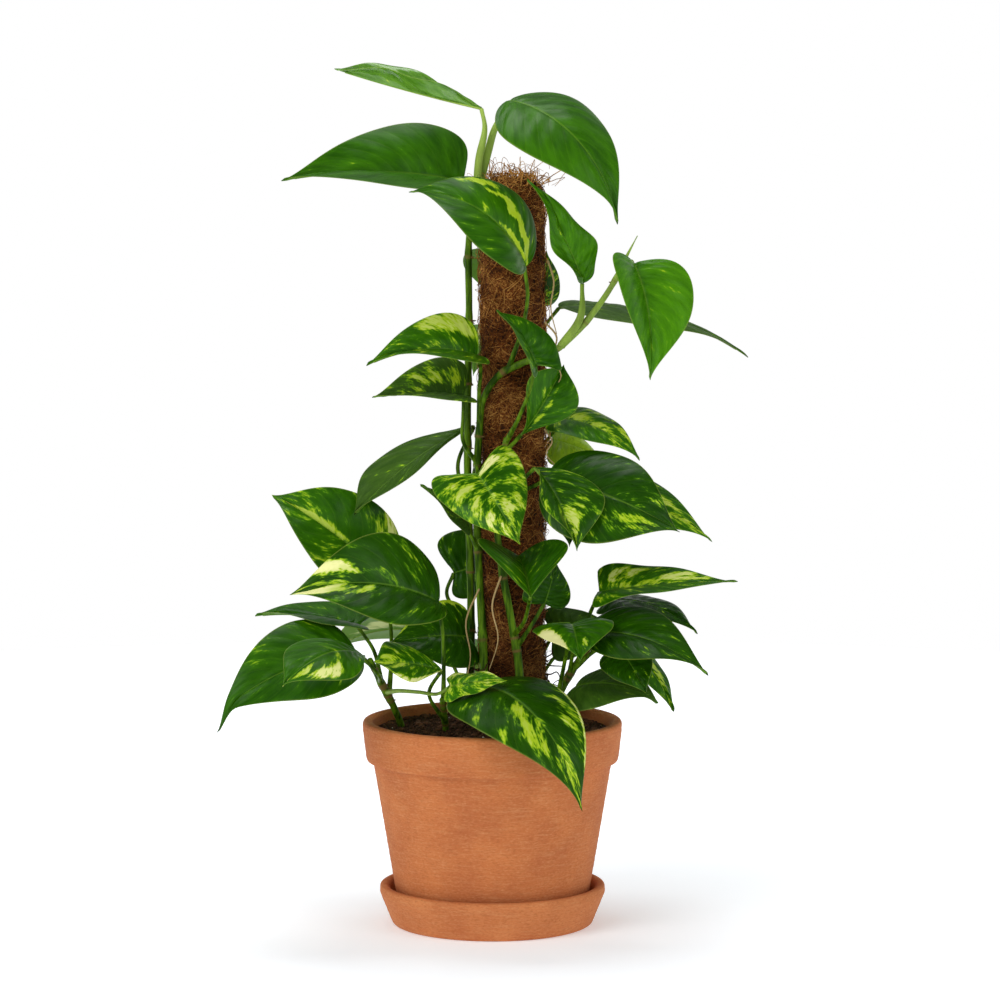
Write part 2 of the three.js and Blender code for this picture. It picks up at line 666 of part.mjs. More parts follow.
/** The saucer: a shallow dish with a rounded lip and a flat underside. */
function saucerSolid() {
  const { height, rimRadius, baseRadius, wall, floor } = SAUCER;
  return turned([
    [0, 0],
    [baseRadius - 2, 0],
    [baseRadius, 2],
    [rimRadius - 0.6, height - 7],
    [rimRadius, height - 4],
    [rimRadius - 0.8, height - 1.4],
    [rimRadius - wall / 2, height],
    [rimRadius - wall + 0.7, height - 1.4],
    [rimRadius - wall, height - 4],
    [baseRadius - 3.5, floor + 2],
    [baseRadius - 4.5, floor],
    [0, floor],
  ]);
}

/** The soil: it fills the pot up to a low mound, with a hole for the pole and for each stem. */
function soilSolid(holes) {
  const { lift, edgeLevel, mound } = SOIL;
  const bottom = POT.seat + POT.floor + lift;
  const wallAt = (height) => potInnerRadius(height) - GAP - 0.2;
  const block = turned([
    [0, bottom],
    [wallAt(bottom), bottom],
    [wallAt(edgeLevel), edgeLevel],
    [wallAt(edgeLevel) * 0.8, edgeLevel + mound * 0.45],
    [wallAt(edgeLevel) * 0.45, edgeLevel + mound * 0.9],
    [0, edgeLevel + mound],
  ], SOIL_SEGMENTS);
  return largestBody(holes.reduce((soil, hole) => soil.subtract(hole), block));
}

/** A round bar about the pole's axis. */
function poleBar(radius, bottom, top, segments) {
  const bar = turned([[0, bottom], [radius, bottom], [radius, top], [0, top]], segments);
  return bar.translate([POLE.x, POLE.y, 0]);
}

/** The wooden stake inside the pole. */
const poleCoreSolid = (clearance = 0) => (
  poleBar(POLE.coreRadius + clearance, POT.seat + POT.floor + GAP - clearance, POLE.coreTop + clearance, POLE_SEGMENTS)
);

/** The sleeve of coir round the stake, with a ragged, domed top. */
function coirSolid(clearance = 0) {
  const radius = POLE.coirRadius + clearance;
  const top = POLE.coirTopRadius + clearance;
  const profile = [[0, POLE.coirBottom - clearance], [radius - 1.5, POLE.coirBottom - clearance]];
  const rings = 10;
  for (let i = 0; i <= rings; i++) {
    const place = i / rings;
    const bulge = 0.7 * Math.sin(i * 2.4);
    const height = THREE.MathUtils.lerp(POLE.coirBottom + 3, POLE.coirTop - 8, place);
    profile.push([THREE.MathUtils.lerp(radius, top + 1.5, place ** 4) + bulge, height]);
  }
  profile.push([top - 5, POLE.coirTop], [0, POLE.coirTop - 1]);
  return turned(profile, POLE_SEGMENTS).translate([POLE.x, POLE.y, 0]);
}

// ---------------------------------------------------------------- the plant in its pot

const plant = new THREE.Group();
plant.name = 'golden_pothos';

plant.add(meshOf('saucer', saucerSolid(), terracotta));
plant.add(meshOf('pot', potSolid(), terracotta));

const stemHoles = Object.values(STEMS).map((stem) => stemSolid(stem, GAP));
const soilHoles = [coirSolid(GAP), poleCoreSolid(GAP), ...stemHoles];
plant.add(meshOf('soil', soilSolid(soilHoles), pottingSoil));
plant.add(meshOf('pole_core', poleCoreSolid(), wood));
plant.add(meshOf('pole_coir', coirSolid().subtract(poleCoreSolid(GAP)), coir));

for (const [name, stem] of Object.entries(STEMS)) {
  plant.add(meshOf(name, stemSolid(stem), stemSkin));
}
for (const [name, shape] of Object.entries(LEAVES)) {
  const finish = shape.variegated ? leafVariegated : leafGreen;
  plant.add(meshOf(name, leafSolid({ ...LEAF_DEFAULTS, ...shape }), finish));
}

export default plant;
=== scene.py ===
"""Golden pothos climbing a coir pole, in a terracotta pot on its saucer.

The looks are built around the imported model, in its frame: +Z up, the plant's front is -Y.
Sizes in the tables are in millimetres and become metres when a piece is made.
"""

import logging
import math
from dataclasses import dataclass, field
from enum import Enum
from typing import Any, ClassVar, Sequence

import bpy
import numpy as np
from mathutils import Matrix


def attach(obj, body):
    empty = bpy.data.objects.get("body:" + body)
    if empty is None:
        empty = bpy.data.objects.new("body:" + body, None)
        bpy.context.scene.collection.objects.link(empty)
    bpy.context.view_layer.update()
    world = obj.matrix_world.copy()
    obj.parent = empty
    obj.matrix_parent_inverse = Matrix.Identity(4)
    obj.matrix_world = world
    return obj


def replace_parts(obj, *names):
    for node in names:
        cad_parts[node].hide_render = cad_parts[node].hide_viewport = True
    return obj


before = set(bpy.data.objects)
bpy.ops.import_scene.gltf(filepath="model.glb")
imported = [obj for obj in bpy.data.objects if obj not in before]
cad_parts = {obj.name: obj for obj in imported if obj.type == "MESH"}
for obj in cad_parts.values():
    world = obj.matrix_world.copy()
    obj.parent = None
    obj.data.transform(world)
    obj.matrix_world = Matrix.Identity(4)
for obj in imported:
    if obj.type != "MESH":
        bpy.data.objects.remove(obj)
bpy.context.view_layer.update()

LOG = logging.getLogger("pothos")
MM = 0.001
BODY = "root"
MIX_A, MIX_B, MIX_OUT = 6, 7, 2  # sockets of a colour mix
SIDE_VEINS = 11  # on each half of a blade
SECTORS = (2.1, 14, 7.3)  # how fast the pale sectors change across a blade, from vein to vein and by leaf
SOIL_LEVEL = 136  # about the height of the soil round the pole

Point = tuple[float, float, float]


def linear(code: int) -> tuple[float, float, float, float]:
    """Turns an sRGB hex value into a linear colour.

    Args:
        code: the colour as 0xRRGGBB.

    Returns:
        Red, green, blue and alpha, from 0 to 1.
    """
    shares = [((code >> shift) & 255) / 255 for shift in (16, 8, 0)]
    red, green, blue = (s / 12.92 if s <= 0.04045 else ((s + 0.055) / 1.055) ** 2.4 for s in shares)
    return red, green, blue, 1.0


def add_node(
    tree: bpy.types.NodeTree,
    kind: str,
    settings: dict[Any, Any] | None = None,
    links: dict[Any, bpy.types.NodeSocket] | None = None,
    **options: Any,
) -> bpy.types.Node:
    """Adds a node with its settings and links.

    Args:
        tree: the node tree that takes it.
        kind: the node's type.
        settings: values of its input sockets, by name or number.
        links: output sockets that feed its input sockets, by name or number.
        options: the node's own options.

    Returns:
        The new node.
    """
    node = tree.nodes.new(kind)
    for key, value in options.items():
        setattr(node, key, value)
    for key, value in (settings or {}).items():
        node.inputs[key].default_value = value
    for key, source in (links or {}).items():
        tree.links.new(source, node.inputs[key])
    return node


def smoothstep(low: float, high: float, value: np.ndarray) -> np.ndarray:
    """Eases from 0 at low to 1 at high.

    Args:
        low: where the result leaves 0.
        high: where it reaches 1.
        value: the numbers to ease.

    Returns:
        The eased numbers.
    """
    share = np.clip((value - low) / (high - low), 0, 1)
    return share * share * (3 - 2 * share)


def unit(vectors: np.ndarray) -> np.ndarray:
    """The same vectors at length one, over their last axis."""
    return vectors / np.maximum(np.linalg.norm(vectors, axis=-1, keepdims=True), 1e-9)


# ---------------------------------------------------------------- finishes


@dataclass(frozen=True)
class Finish:
    """A finish of the plant or its pot, made into a material once."""

    name: str

    def material(self) -> bpy.types.Material:
        """Makes the material, or finds it if it is there already.

        Returns:
            The material.
        """
        found = bpy.data.materials.get(self.name)
        if found:
            return found
        made = bpy.data.materials.new(self.name)
        made.use_nodes = True
        made.node_tree.nodes.clear()
        shader = self.shade(made.node_tree)
        add_node(made.node_tree, "ShaderNodeOutputMaterial", links={"Surface": shader.outputs[0]})
        return made

    def shade(self, tree: bpy.types.NodeTree) -> bpy.types.Node:
        """Builds the nodes of the finish and gives its shader."""
        raise NotImplementedError


@dataclass(frozen=True)
class FiredTerracotta(Finish):
    """Unglazed earthenware, turned and fired: matt, warm, mottled, with fine marks of the wheel."""

    light: int = 0xC57542
    dark: int = 0xAE6137
    chalk: int = 0xD49A68
    grog: int = 0x925028
    rough: float = 0.86

    def shade(self, tree: bpy.types.NodeTree) -> bpy.types.Node:
        """Builds the fired clay.

        Args:
            tree: the material's node tree.

        Returns:
            The shader node.
        """
        where = add_node(tree, "ShaderNodeTexCoord").outputs["Object"]
        # clouds of colour about 35 mm wide, left by the fire
        clouds = add_node(tree, "ShaderNodeTexNoise", {"Scale": 28, "Detail": 5, "Roughness": 0.6},
                          {"Vector": where})
        # wheel marks 1 to 2 mm apart that run round the pot
        turn = add_node(tree, "ShaderNodeMapping", {"Scale": (70, 70, 760)}, {"Vector": where})
        marks = add_node(tree, "ShaderNodeTexNoise", {"Scale": 1, "Detail": 4, "Roughness": 0.7},
                         {"Vector": turn.outputs[0]})
        # grog and sand of 1 to 2 mm, drawn out a little round the pot by the turner's hand
        drawn = add_node(tree, "ShaderNodeMapping", {"Scale": (430, 430, 1100)}, {"Vector": where})
        grit = add_node(tree, "ShaderNodeTexNoise", {"Scale": 1, "Detail": 3, "Roughness": 0.6},
                        {"Vector": drawn.outputs[0]})
        cloud_share = add_node(tree, "ShaderNodeMapRange", {"From Min": 0.3, "From Max": 0.7},
                               {"Value": clouds.outputs[0]})
        body = add_node(tree, "ShaderNodeMix", {MIX_A: linear(self.dark), MIX_B: linear(self.light)},
                        {"Factor": cloud_share.outputs[0]}, data_type="RGBA")
        # chalk on the wheel marks, then dark grog, then pale sand
        layers = (
            (marks, {"From Min": 0.48, "From Max": 0.72, "To Max": 0.34}, self.chalk),
            (grit, {"From Min": 0.3, "From Max": 0.48, "To Min": 0.4, "To Max": 0.0}, self.grog),
            (grit, {"From Min": 0.54, "From Max": 0.7, "To Max": 0.3}, self.chalk),
        )
        colour = body.outputs[MIX_OUT]
        for mask, reach, code in layers:
            share = add_node(tree, "ShaderNodeMapRange", reach, {"Value": mask.outputs[0]})
            colour = add_node(tree, "ShaderNodeMix", {MIX_B: linear(code)},
                              {"Factor": share.outputs[0], MIX_A: colour}, data_type="RGBA").outputs[MIX_OUT]
        relief = add_node(tree, "ShaderNodeMath", {1: 0.35}, {0: grit.outputs[0], 2: marks.outputs[0]},
                          operation="MULTIPLY_ADD")
        bump = add_node(tree, "ShaderNodeBump", {"Strength": 0.4, "Distance": 0.0006},
                        {"Height": relief.outputs[0]})
        return add_node(tree, "ShaderNodeBsdfPrincipled",
                        {"Roughness": self.rough, "IOR": 1.5, "Specular IOR Level": 0.25},
                        {"Base Color": colour, "Normal": bump.outputs[0]})


@dataclass(frozen=True)
class DampPottingSoil(Finish):
    """Peat and compost, damp and crumbled: near black in the gaps, brown on the crumbs, quite matt."""

    gap: int = 0x24160D
    crumb: int = 0x64442E

    def shade(self, tree: bpy.types.NodeTree) -> bpy.types.Node:
        """Builds the crumbly peat.

        Args:
            tree: the material's node tree.

        Returns:
            The shader node.
        """
        where = add_node(tree, "ShaderNodeTexCoord").outputs["Object"]
        # crumbs of about 3 mm
        crumbs = add_node(tree, "ShaderNodeTexNoise", {"Scale": 330, "Detail": 5, "Roughness": 0.7},
                          {"Vector": where})
        share = add_node(tree, "ShaderNodeMapRange", {"From Min": 0.36, "From Max": 0.68},
                         {"Value": crumbs.outputs[0]})
        colour = add_node(tree, "ShaderNodeMix", {MIX_A: linear(self.gap), MIX_B: linear(self.crumb)},
                          {"Factor": share.outputs[0]}, data_type="RGBA")
        bump = add_node(tree, "ShaderNodeBump", {"Strength": 0.8, "Distance": 0.0015},
                        {"Height": crumbs.outputs[0]})
        return add_node(tree, "ShaderNodeBsdfPrincipled", {"Roughness": 0.95, "Specular IOR Level": 0.2},
                        {"Base Color": colour.outputs[MIX_OUT], "Normal": bump.outputs[0]})


@dataclass(frozen=True)
class CoconutCoir(Finish):
    """Coconut husk fibre, matted and wound: stiff reddish brown strands with a few straw-gold ones."""

    shadow: int = 0x361A08
    husk: int = 0x804616
    straw: int = 0xD0974E

    def shade(self, tree: bpy.types.NodeTree) -> bpy.types.Node:
        """Builds the fibre, with its tone from the piece's own "tone" value.

        Args:
            tree: the material's node tree.

        Returns:
            The shader node.
        """
        where = add_node(tree, "ShaderNodeTexCoord").outputs["Object"]
        tone = add_node(tree, "ShaderNodeAttribute", attribute_name="tone").outputs["Fac"]
        # a felt of crossing hairs, with meshes of 2 to 3 mm
        felt = add_node(tree, "ShaderNodeTexNoise", {"Scale": 330, "Detail": 4, "Roughness": 0.75,
                        "Lacunarity": 2.3, "Offset": 0.9, "Gain": 1.6, "Distortion": 1.1}, {"Vector": where},
                        noise_type="RIDGED_MULTIFRACTAL")
        flecks = add_node(tree, "ShaderNodeMapRange", {"From Min": 0.5, "From Max": 1.9},
                          {"Value": felt.outputs[0]})
        mixed = add_node(tree, "ShaderNodeMath", {1: 0.7}, {0: flecks.outputs[0], 2: tone},
                         operation="MULTIPLY_ADD")
        low = add_node(tree, "ShaderNodeMapRange", {"From Min": 0.2, "From Max": 0.75},
                       {"Value": mixed.outputs[0]})
        high = add_node(tree, "ShaderNodeMapRange", {"From Min": 0.8, "From Max": 1.25},
                        {"Value": mixed.outputs[0]})
        brown = add_node(tree, "ShaderNodeMix", {MIX_A: linear(self.shadow), MIX_B: linear(self.husk)},
                         {"Factor": low.outputs[0]}, data_type="RGBA")
        # painted shade: the lowest 140 mm above the soil are painted darker, as the shade among the low
        # leaves, most of all the first 20 mm
        height = add_node(tree, "ShaderNodeSeparateXYZ", links={0: where}).outputs[2]
        foot_shade = add_node(tree, "ShaderNodeMapRange",
                        {"From Min": 0.16, "From Max": 0.28, "To Min": 0.5, "To Max": 0.0},
                        {"Value": height})
        colour = brown.outputs[MIX_OUT]
        for share, code in ((high, self.straw), (foot_shade, self.shadow)):
            colour = add_node(tree, "ShaderNodeMix", {MIX_B: linear(code)},
                              {"Factor": share.outputs[0], MIX_A: colour}, data_type="RGBA").outputs[MIX_OUT]
        bump = add_node(tree, "ShaderNodeBump", {"Strength": 0.6, "Distance": 0.0008},
                        {"Height": flecks.outputs[0]})
        return add_node(tree, "ShaderNodeBsdfPrincipled", {"Roughness": 0.8, "Specular IOR Level": 0.12},
                        {"Base Color": colour, "Normal": bump.outputs[0]})


@dataclass(frozen=True)
class SawnPine(Finish):
    """Planed pine left raw: pale, with darker growth lines along the stake."""

    late: int = 0x9A7145
    early: int = 0xD3AD78

    def shade(self, tree: bpy.types.NodeTree) -> bpy.types.Node:
        """Builds the raw softwood.

        Args:
            tree: the material's node tree.

        Returns:
            The shader node.
        """
        where = add_node(tree, "ShaderNodeTexCoord").outputs["Object"]
        # growth lines 2 to 3 mm apart, drawn out along the stake
        along = add_node(tree, "ShaderNodeMapping", {"Scale": (380, 380, 9)}, {"Vector": where})
        lines = add_node(tree, "ShaderNodeTexNoise", {"Scale": 1, "Detail": 4}, {"Vector": along.outputs[0]})
        colour = add_node(tree, "ShaderNodeMix", {MIX_A: linear(self.late), MIX_B: linear(self.early)},
                          {"Factor": lines.outputs[0]}, data_type="RGBA")
        bump = add_node(tree, "ShaderNodeBump", {"Strength": 0.3, "Distance": 0.0003},
                        {"Height": lines.outputs[0]})
        return add_node(tree, "ShaderNodeBsdfPrincipled", {"Roughness": 0.7},
                        {"Base Color": colour.outputs[MIX_OUT], "Normal": bump.outputs[0]})


@dataclass(frozen=True)
class PothosSkin(Finish):
    """The living skin of stems and leaf stalks: waxy mid green, faintly streaked, corky at the joints."""

    light: int = 0x70981A
    dark: int = 0x234000
    young: int = 0xA8C45A
    cork: int = 0x6E5430

    def shade(self, tree: bpy.types.NodeTree) -> bpy.types.Node:
        """Builds the green skin, brown where the piece's own "cork" value is high, pale where "young" is.

        Args:
            tree: the material's node tree.

        Returns:
            The shader node.
        """
        where = add_node(tree, "ShaderNodeTexCoord").outputs["Object"]
        cork = add_node(tree, "ShaderNodeAttribute", attribute_name="cork").outputs["Fac"]
        # soft streaks of 4 mm and finer that run up the stem, and specks of 0.5 mm
        upright = add_node(tree, "ShaderNodeMapping", {"Scale": (260, 260, 34)}, {"Vector": where})
        streaks = add_node(tree, "ShaderNodeTexNoise", {"Scale": 1, "Detail": 4, "Roughness": 0.6},
                           {"Vector": upright.outputs[0]})
        specks = add_node(tree, "ShaderNodeTexNoise", {"Scale": 1900, "Detail": 1}, {"Vector": where})
        share = add_node(tree, "ShaderNodeMapRange", {"From Min": 0.4, "From Max": 0.75},
                         {"Value": streaks.outputs[0]})
        green = add_node(tree, "ShaderNodeMix", {MIX_A: linear(self.dark), MIX_B: linear(self.light)},
                         {"Factor": share.outputs[0]}, data_type="RGBA")
        # growth above 490 to 550 mm is a few weeks old and paler
        height = add_node(tree, "ShaderNodeSeparateXYZ", links={0: where}).outputs[2]
        high = add_node(tree, "ShaderNodeMapRange", {"From Min": 0.49, "From Max": 0.55, "To Max": 0.8},
                        {"Value": height})
        young = add_node(tree, "ShaderNodeAttribute", attribute_name="young").outputs["Fac"]
        age = add_node(tree, "ShaderNodeMath", links={0: high.outputs[0], 1: young}, operation="MAXIMUM")
        edge = add_node(tree, "ShaderNodeMath", {1: 0.5}, {0: specks.outputs[0], 2: cork},
                        operation="MULTIPLY_ADD")
        corky = add_node(tree, "ShaderNodeMapRange", {"From Min": 0.45, "From Max": 0.95, "To Max": 0.85},
                         {"Value": edge.outputs[0]})
        colour = green.outputs[MIX_OUT]
        for share, code in ((age, self.young), (corky, self.cork)):
            colour = add_node(tree, "ShaderNodeMix", {MIX_B: linear(code)},
                              {"Factor": share.outputs[0], MIX_A: colour}, data_type="RGBA").outputs[MIX_OUT]
        bump = add_node(tree, "ShaderNodeBump", {"Strength": 0.25, "Distance": 0.0003},
                        {"Height": specks.outputs[0]})
        return add_node(tree, "ShaderNodeBsdfPrincipled", {"Roughness": 0.42, "Specular IOR Level": 0.08},
                        {"Base Color": colour, "Normal": bump.outputs[0]})


@dataclass(frozen=True)
class PothosBlade(Finish):
    """The upper face of a blade: a waxy cuticle over green, with cream sectors that follow the veins."""

    deep: int
    fresh: int
    halo: int = 0x5C9010
    lime: int = 0xA3BF20
    cream: int = 0xEFEDA6
    rib: int = 0x6F9A2C
    margin: int = 0xAEBE4E
    rough: float = 0.36
    shine: float = 0.1

    def shade(self, tree: bpy.types.NodeTree) -> bpy.types.Node:
        """Builds the variegated blade from the piece's own "blade" and "tint" values.

        "blade" is (across, side vein, seed) and "tint" is (pale, cream, light) at each point.

        Args:
            tree: the material's node tree.

        Returns:
            The shader node.
        """
        blade = add_node(tree, "ShaderNodeAttribute", attribute_name="blade").outputs["Vector"]
        tint = add_node(tree, "ShaderNodeAttribute", attribute_name="tint").outputs["Vector"]
        axes = add_node(tree, "ShaderNodeSeparateXYZ", links={0: blade}).outputs
        tints = add_node(tree, "ShaderNodeSeparateXYZ", links={0: tint}).outputs
        # sectors a few mm wide that run with the side veins, and flecks of about 1 mm
        sector_at = add_node(tree, "ShaderNodeVectorMath", {1: SECTORS}, {0: blade}, operation="MULTIPLY")
        sectors = add_node(tree, "ShaderNodeTexNoise", {"Scale": 1, "Detail": 4, "Roughness": 0.58},
                           {"Vector": sector_at.outputs[0]})
        fleck_at = add_node(tree, "ShaderNodeVectorMath", {1: (9, 60, 3.1)}, {0: blade},
                            operation="MULTIPLY")
        flecks = add_node(tree, "ShaderNodeTexNoise", {"Scale": 1, "Detail": 2, "Roughness": 0.6},
                          {"Vector": fleck_at.outputs[0]})
        rough_edge = add_node(tree, "ShaderNodeMath", {1: 0.45},
                              {0: flecks.outputs[0], 2: sectors.outputs[0]}, operation="MULTIPLY_ADD")
        wider = add_node(tree, "ShaderNodeMapRange",
                         {"From Min": 0.4, "From Max": 1.05, "To Min": 0.15, "To Max": 1.2},
                         {"Value": rough_edge.outputs[0]}, clamp=False)
        paleness = add_node(tree, "ShaderNodeMath", {1: 0.85}, {0: tints[0], 2: wider.outputs[0]},
                            operation="MULTIPLY_ADD")
        # a pale sector has a bright green halo, a lime edge and a cream middle
        steps = [add_node(tree, "ShaderNodeMapRange", {"From Min": low, "From Max": high, "To Max": most},
                          {"Value": paleness.outputs[0]}, interpolation_type="SMOOTHSTEP").outputs[0]
                 for low, high, most in ((0.86, 1.02, 0.85), (0.97, 1.12, 1.0), (1.1, 1.28, 1.0))]
        creamy = add_node(tree, "ShaderNodeMath", links={0: tints[1], 1: steps[2]}, operation="MULTIPLY")
        # the green: darker and lighter between the veins
        depth = add_node(tree, "ShaderNodeMath", links={0: sectors.outputs[0], 1: tints[2]}, operation="ADD")
        fresher = add_node(tree, "ShaderNodeMapRange", {"From Min": 0.3, "From Max": 0.75},
                           {"Value": depth.outputs[0]})
        green = add_node(tree, "ShaderNodeMix", {MIX_A: linear(self.deep), MIX_B: linear(self.fresh)},
                         {"Factor": fresher.outputs[0]}, data_type="RGBA")
        # side veins 6 to 8 mm apart, faintly lighter
        vein_turn = add_node(tree, "ShaderNodeMath", {1: math.pi * SIDE_VEINS}, {0: axes[1]},
                             operation="MULTIPLY")
        vein_wave = add_node(tree, "ShaderNodeMath", links={0: vein_turn.outputs[0]}, operation="SINE")
        vein_size = add_node(tree, "ShaderNodeMath", links={0: vein_wave.outputs[0]}, operation="ABSOLUTE")
        vein = add_node(tree, "ShaderNodeMapRange",
                        {"From Min": 0.0, "From Max": 0.16, "To Min": 0.09, "To Max": 0.0},
                        {"Value": vein_size.outputs[0]})
        # the midrib: a pale line 1 to 2 mm wide
        offset = add_node(tree, "ShaderNodeMath", links={0: axes[0]}, operation="ABSOLUTE")
        rib = add_node(tree, "ShaderNodeMapRange",
                       {"From Min": 0.012, "From Max": 0.035, "To Min": 0.4, "To Max": 0.0},
                       {"Value": offset.outputs[0]})
        # the thin, horny margin
        edge = add_node(tree, "ShaderNodeMapRange", {"From Min": 0.975, "From Max": 1.0, "To Max": 0.25},
                        {"Value": offset.outputs[0]})
        layers = (
            (vein.outputs[0], self.rib), (steps[0], self.halo), (steps[1], self.lime),
            (creamy.outputs[0], self.cream), (rib.outputs[0], self.rib), (edge.outputs[0], self.margin),
        )
        colour = green.outputs[MIX_OUT]
        for share, code in layers:
            colour = add_node(tree, "ShaderNodeMix", {MIX_B: linear(code)},
                              {"Factor": share, MIX_A: colour}, data_type="RGBA").outputs[MIX_OUT]
        swell = add_node(tree, "ShaderNodeMath", {1: 0.25}, {0: flecks.outputs[0], 2: vein_size.outputs[0]},
                         operation="MULTIPLY_ADD")
        bump = add_node(tree, "ShaderNodeBump", {"Strength": 0.22, "Distance": 0.0006},
                        {"Height": swell.outputs[0]})
        # the wax is a little uneven, so the shine is too
        gloss = add_node(tree, "ShaderNodeMapRange",
                         {"From Min": 0.3, "From Max": 0.7, "To Min": self.rough - 0.05,
                          "To Max": self.rough + 0.08}, {"Value": flecks.outputs[0]})
        return add_node(tree, "ShaderNodeBsdfPrincipled", {"Specular IOR Level": self.shine},
                        {"Base Color": colour, "Normal": bump.outputs[0], "Roughness": gloss.outputs[0]})


@dataclass(frozen=True)
class PothosUnderside(Finish):
    """The lower face of a blade: paler, duller green with the same pale sectors showing through."""

    green: int = 0x567F24
    pale: int = 0xC9D38A

    def shade(self, tree: bpy.types.NodeTree) -> bpy.types.Node:
        """Builds the underside.

        Args:
            tree: the material's node tree.

        Returns:
            The shader node.
        """
        blade = add_node(tree, "ShaderNodeAttribute", attribute_name="blade").outputs["Vector"]
        tint = add_node(tree, "ShaderNodeAttribute", attribute_name="tint").outputs["Vector"]
        tints = add_node(tree, "ShaderNodeSeparateXYZ", links={0: tint}).outputs
        # sectors a few mm wide along the side veins, as on the upper face
        sector_at = add_node(tree, "ShaderNodeVectorMath", {1: SECTORS}, {0: blade}, operation="MULTIPLY")
        sectors = add_node(tree, "ShaderNodeTexNoise", {"Scale": 1, "Detail": 5, "Roughness": 0.58},
                           {"Vector": sector_at.outputs[0]})
        paleness = add_node(tree, "ShaderNodeMath", {1: 0.85}, {0: tints[0], 2: sectors.outputs[0]},
                            operation="MULTIPLY_ADD")
        patch = add_node(tree, "ShaderNodeMapRange", {"From Min": 0.85, "From Max": 1.05, "To Max": 0.85},
                         {"Value": paleness.outputs[0]})
        colour = add_node(tree, "ShaderNodeMix", {MIX_A: linear(self.green), MIX_B: linear(self.pale)},
                          {"Factor": patch.outputs[0]}, data_type="RGBA")
        bump = add_node(tree, "ShaderNodeBump", {"Strength": 0.2, "Distance": 0.0005},
                        {"Height": sectors.outputs[0]})
        return add_node(tree, "ShaderNodeBsdfPrincipled", {"Roughness": 0.55, "Specular IOR Level": 0.15},
                        {"Base Color": colour.outputs[MIX_OUT], "Normal": bump.outputs[0]})


@dataclass(frozen=True)
class DryGrain(Finish):
    """Loose bits in and on the soil and dry roots: matt, flecked light and dark by fine pores."""

    light: int = 0xE8E4DA
    dark: int = 0xBDB7AA

    def shade(self, tree: bpy.types.NodeTree) -> bpy.types.Node:
        """Builds the matt grain.

        Args:
            tree: the material's node tree.

        Returns:
            The shader node.
        """
        where = add_node(tree, "ShaderNodeTexCoord").outputs["Object"]
        # pores and cracks under 1 mm
        pores = add_node(tree, "ShaderNodeTexNoise", {"Scale": 1300, "Detail": 3}, {"Vector": where})
        colour = add_node(tree, "ShaderNodeMix", {MIX_A: linear(self.dark), MIX_B: linear(self.light)},
                          {"Factor": pores.outputs[0]}, data_type="RGBA")
        bump = add_node(tree, "ShaderNodeBump", {"Strength": 0.5, "Distance": 0.0004},
                        {"Height": pores.outputs[0]})
        return add_node(tree, "ShaderNodeBsdfPrincipled", {"Roughness": 0.9, "Specular IOR Level": 0.25},
                        {"Base Color": colour.outputs[MIX_OUT], "Normal": bump.outputs[0]})


@dataclass(frozen=True)
class StudioPaper(Finish):
    """White paper on a light table, as for a cut-out: matt, even and lit a little from below."""

    def shade(self, tree: bpy.types.NodeTree) -> bpy.types.Node:
        """Builds the plain paper, whose tooth is too fine to draw, lit from below more towards its edge.

        Args:
            tree: the material's node tree.

        Returns:
            The shader node.
        """
        where = add_node(tree, "ShaderNodeTexCoord").outputs["Object"]
        out = add_node(tree, "ShaderNodeVectorMath", links={0: where}, operation="LENGTH").outputs["Value"]
        glow = add_node(tree, "ShaderNodeMapRange",
                        {"From Min": 0.08, "From Max": 0.6, "To Min": 0.3, "To Max": 0.6},
                        {"Value": out}, interpolation_type="SMOOTHSTEP")
        return add_node(tree, "ShaderNodeBsdfPrincipled",
                        {"Base Color": linear(0xEDF2F7), "Roughness": 0.9, "Specular IOR Level": 0.1,
                         "Emission Color": linear(0xFFFFFF)}, {"Emission Strength": glow.outputs[0]})


class LeafTone(Enum):
    """The greens that the blades come in, with a grey-green that is painted sheen and a deep green that is
    also painted shade on some blades.
    """

    # deep green, and painted shade on blades that lie in the shade of others
    DEEP_AND_SHADE = PothosBlade("waxy_blade_deep_green_and_painted_shade", deep=0x143800, fresh=0x2A5802, rough=0.3)
    MID = PothosBlade("waxy_blade_mid_green", deep=0x1D4A00, fresh=0x397003, rough=0.32)
    FRESH = PothosBlade("waxy_blade_fresh_green", deep=0x2C6002, fresh=0x4C8A08, rough=0.3)
    # grey-green painted for the sheen that these blades show at a grazing angle
    GREY_SHEEN = PothosBlade("painted_sheen_grey_green_blade", deep=0x2D4D0E, fresh=0x45661C, rough=0.46)
    YOUNG = PothosBlade("young_blade_pale_green", deep=0x3F7410, fresh=0x6C9E34, rough=0.22, shine=0.5)
    LIME = PothosBlade("young_blade_yellow_green", deep=0x7FA51C, fresh=0xA4C22C, rough=0.36)


TERRACOTTA_POT = FiredTerracotta("fired_terracotta_turned_pot")
TERRACOTTA_SAUCER = FiredTerracotta("fired_terracotta_turned_saucer", light=0xCC7E4A, dark=0xB86A3D)
SOIL_MIX = DampPottingSoil("damp_potting_soil")
COIR_MAT = CoconutCoir("matted_coconut_coir", shadow=0x261205, husk=0x6E3A12)
COIR_STRAND = CoconutCoir("loose_coconut_coir_strands")
PINE_STAKE = SawnPine("raw_sawn_pine_stake")
GREEN_SKIN = PothosSkin("waxy_green_stem_skin")
UNDERSIDE = PothosUnderside("matt_blade_underside")
DRY_ROOT = DryGrain("dry_aerial_root", light=0xC7AE7C, dark=0x8C6F40)
DEAD_ROOT = DryGrain("dead_dark_rootlet", light=0x5C4226, dark=0x20140A)
PERLITE = DryGrain("expanded_perlite")
PINE_BARK = DryGrain("chipped_pine_bark", light=0x7A4E30, dark=0x3A2418)


# ---------------------------------------------------------------- mesh making


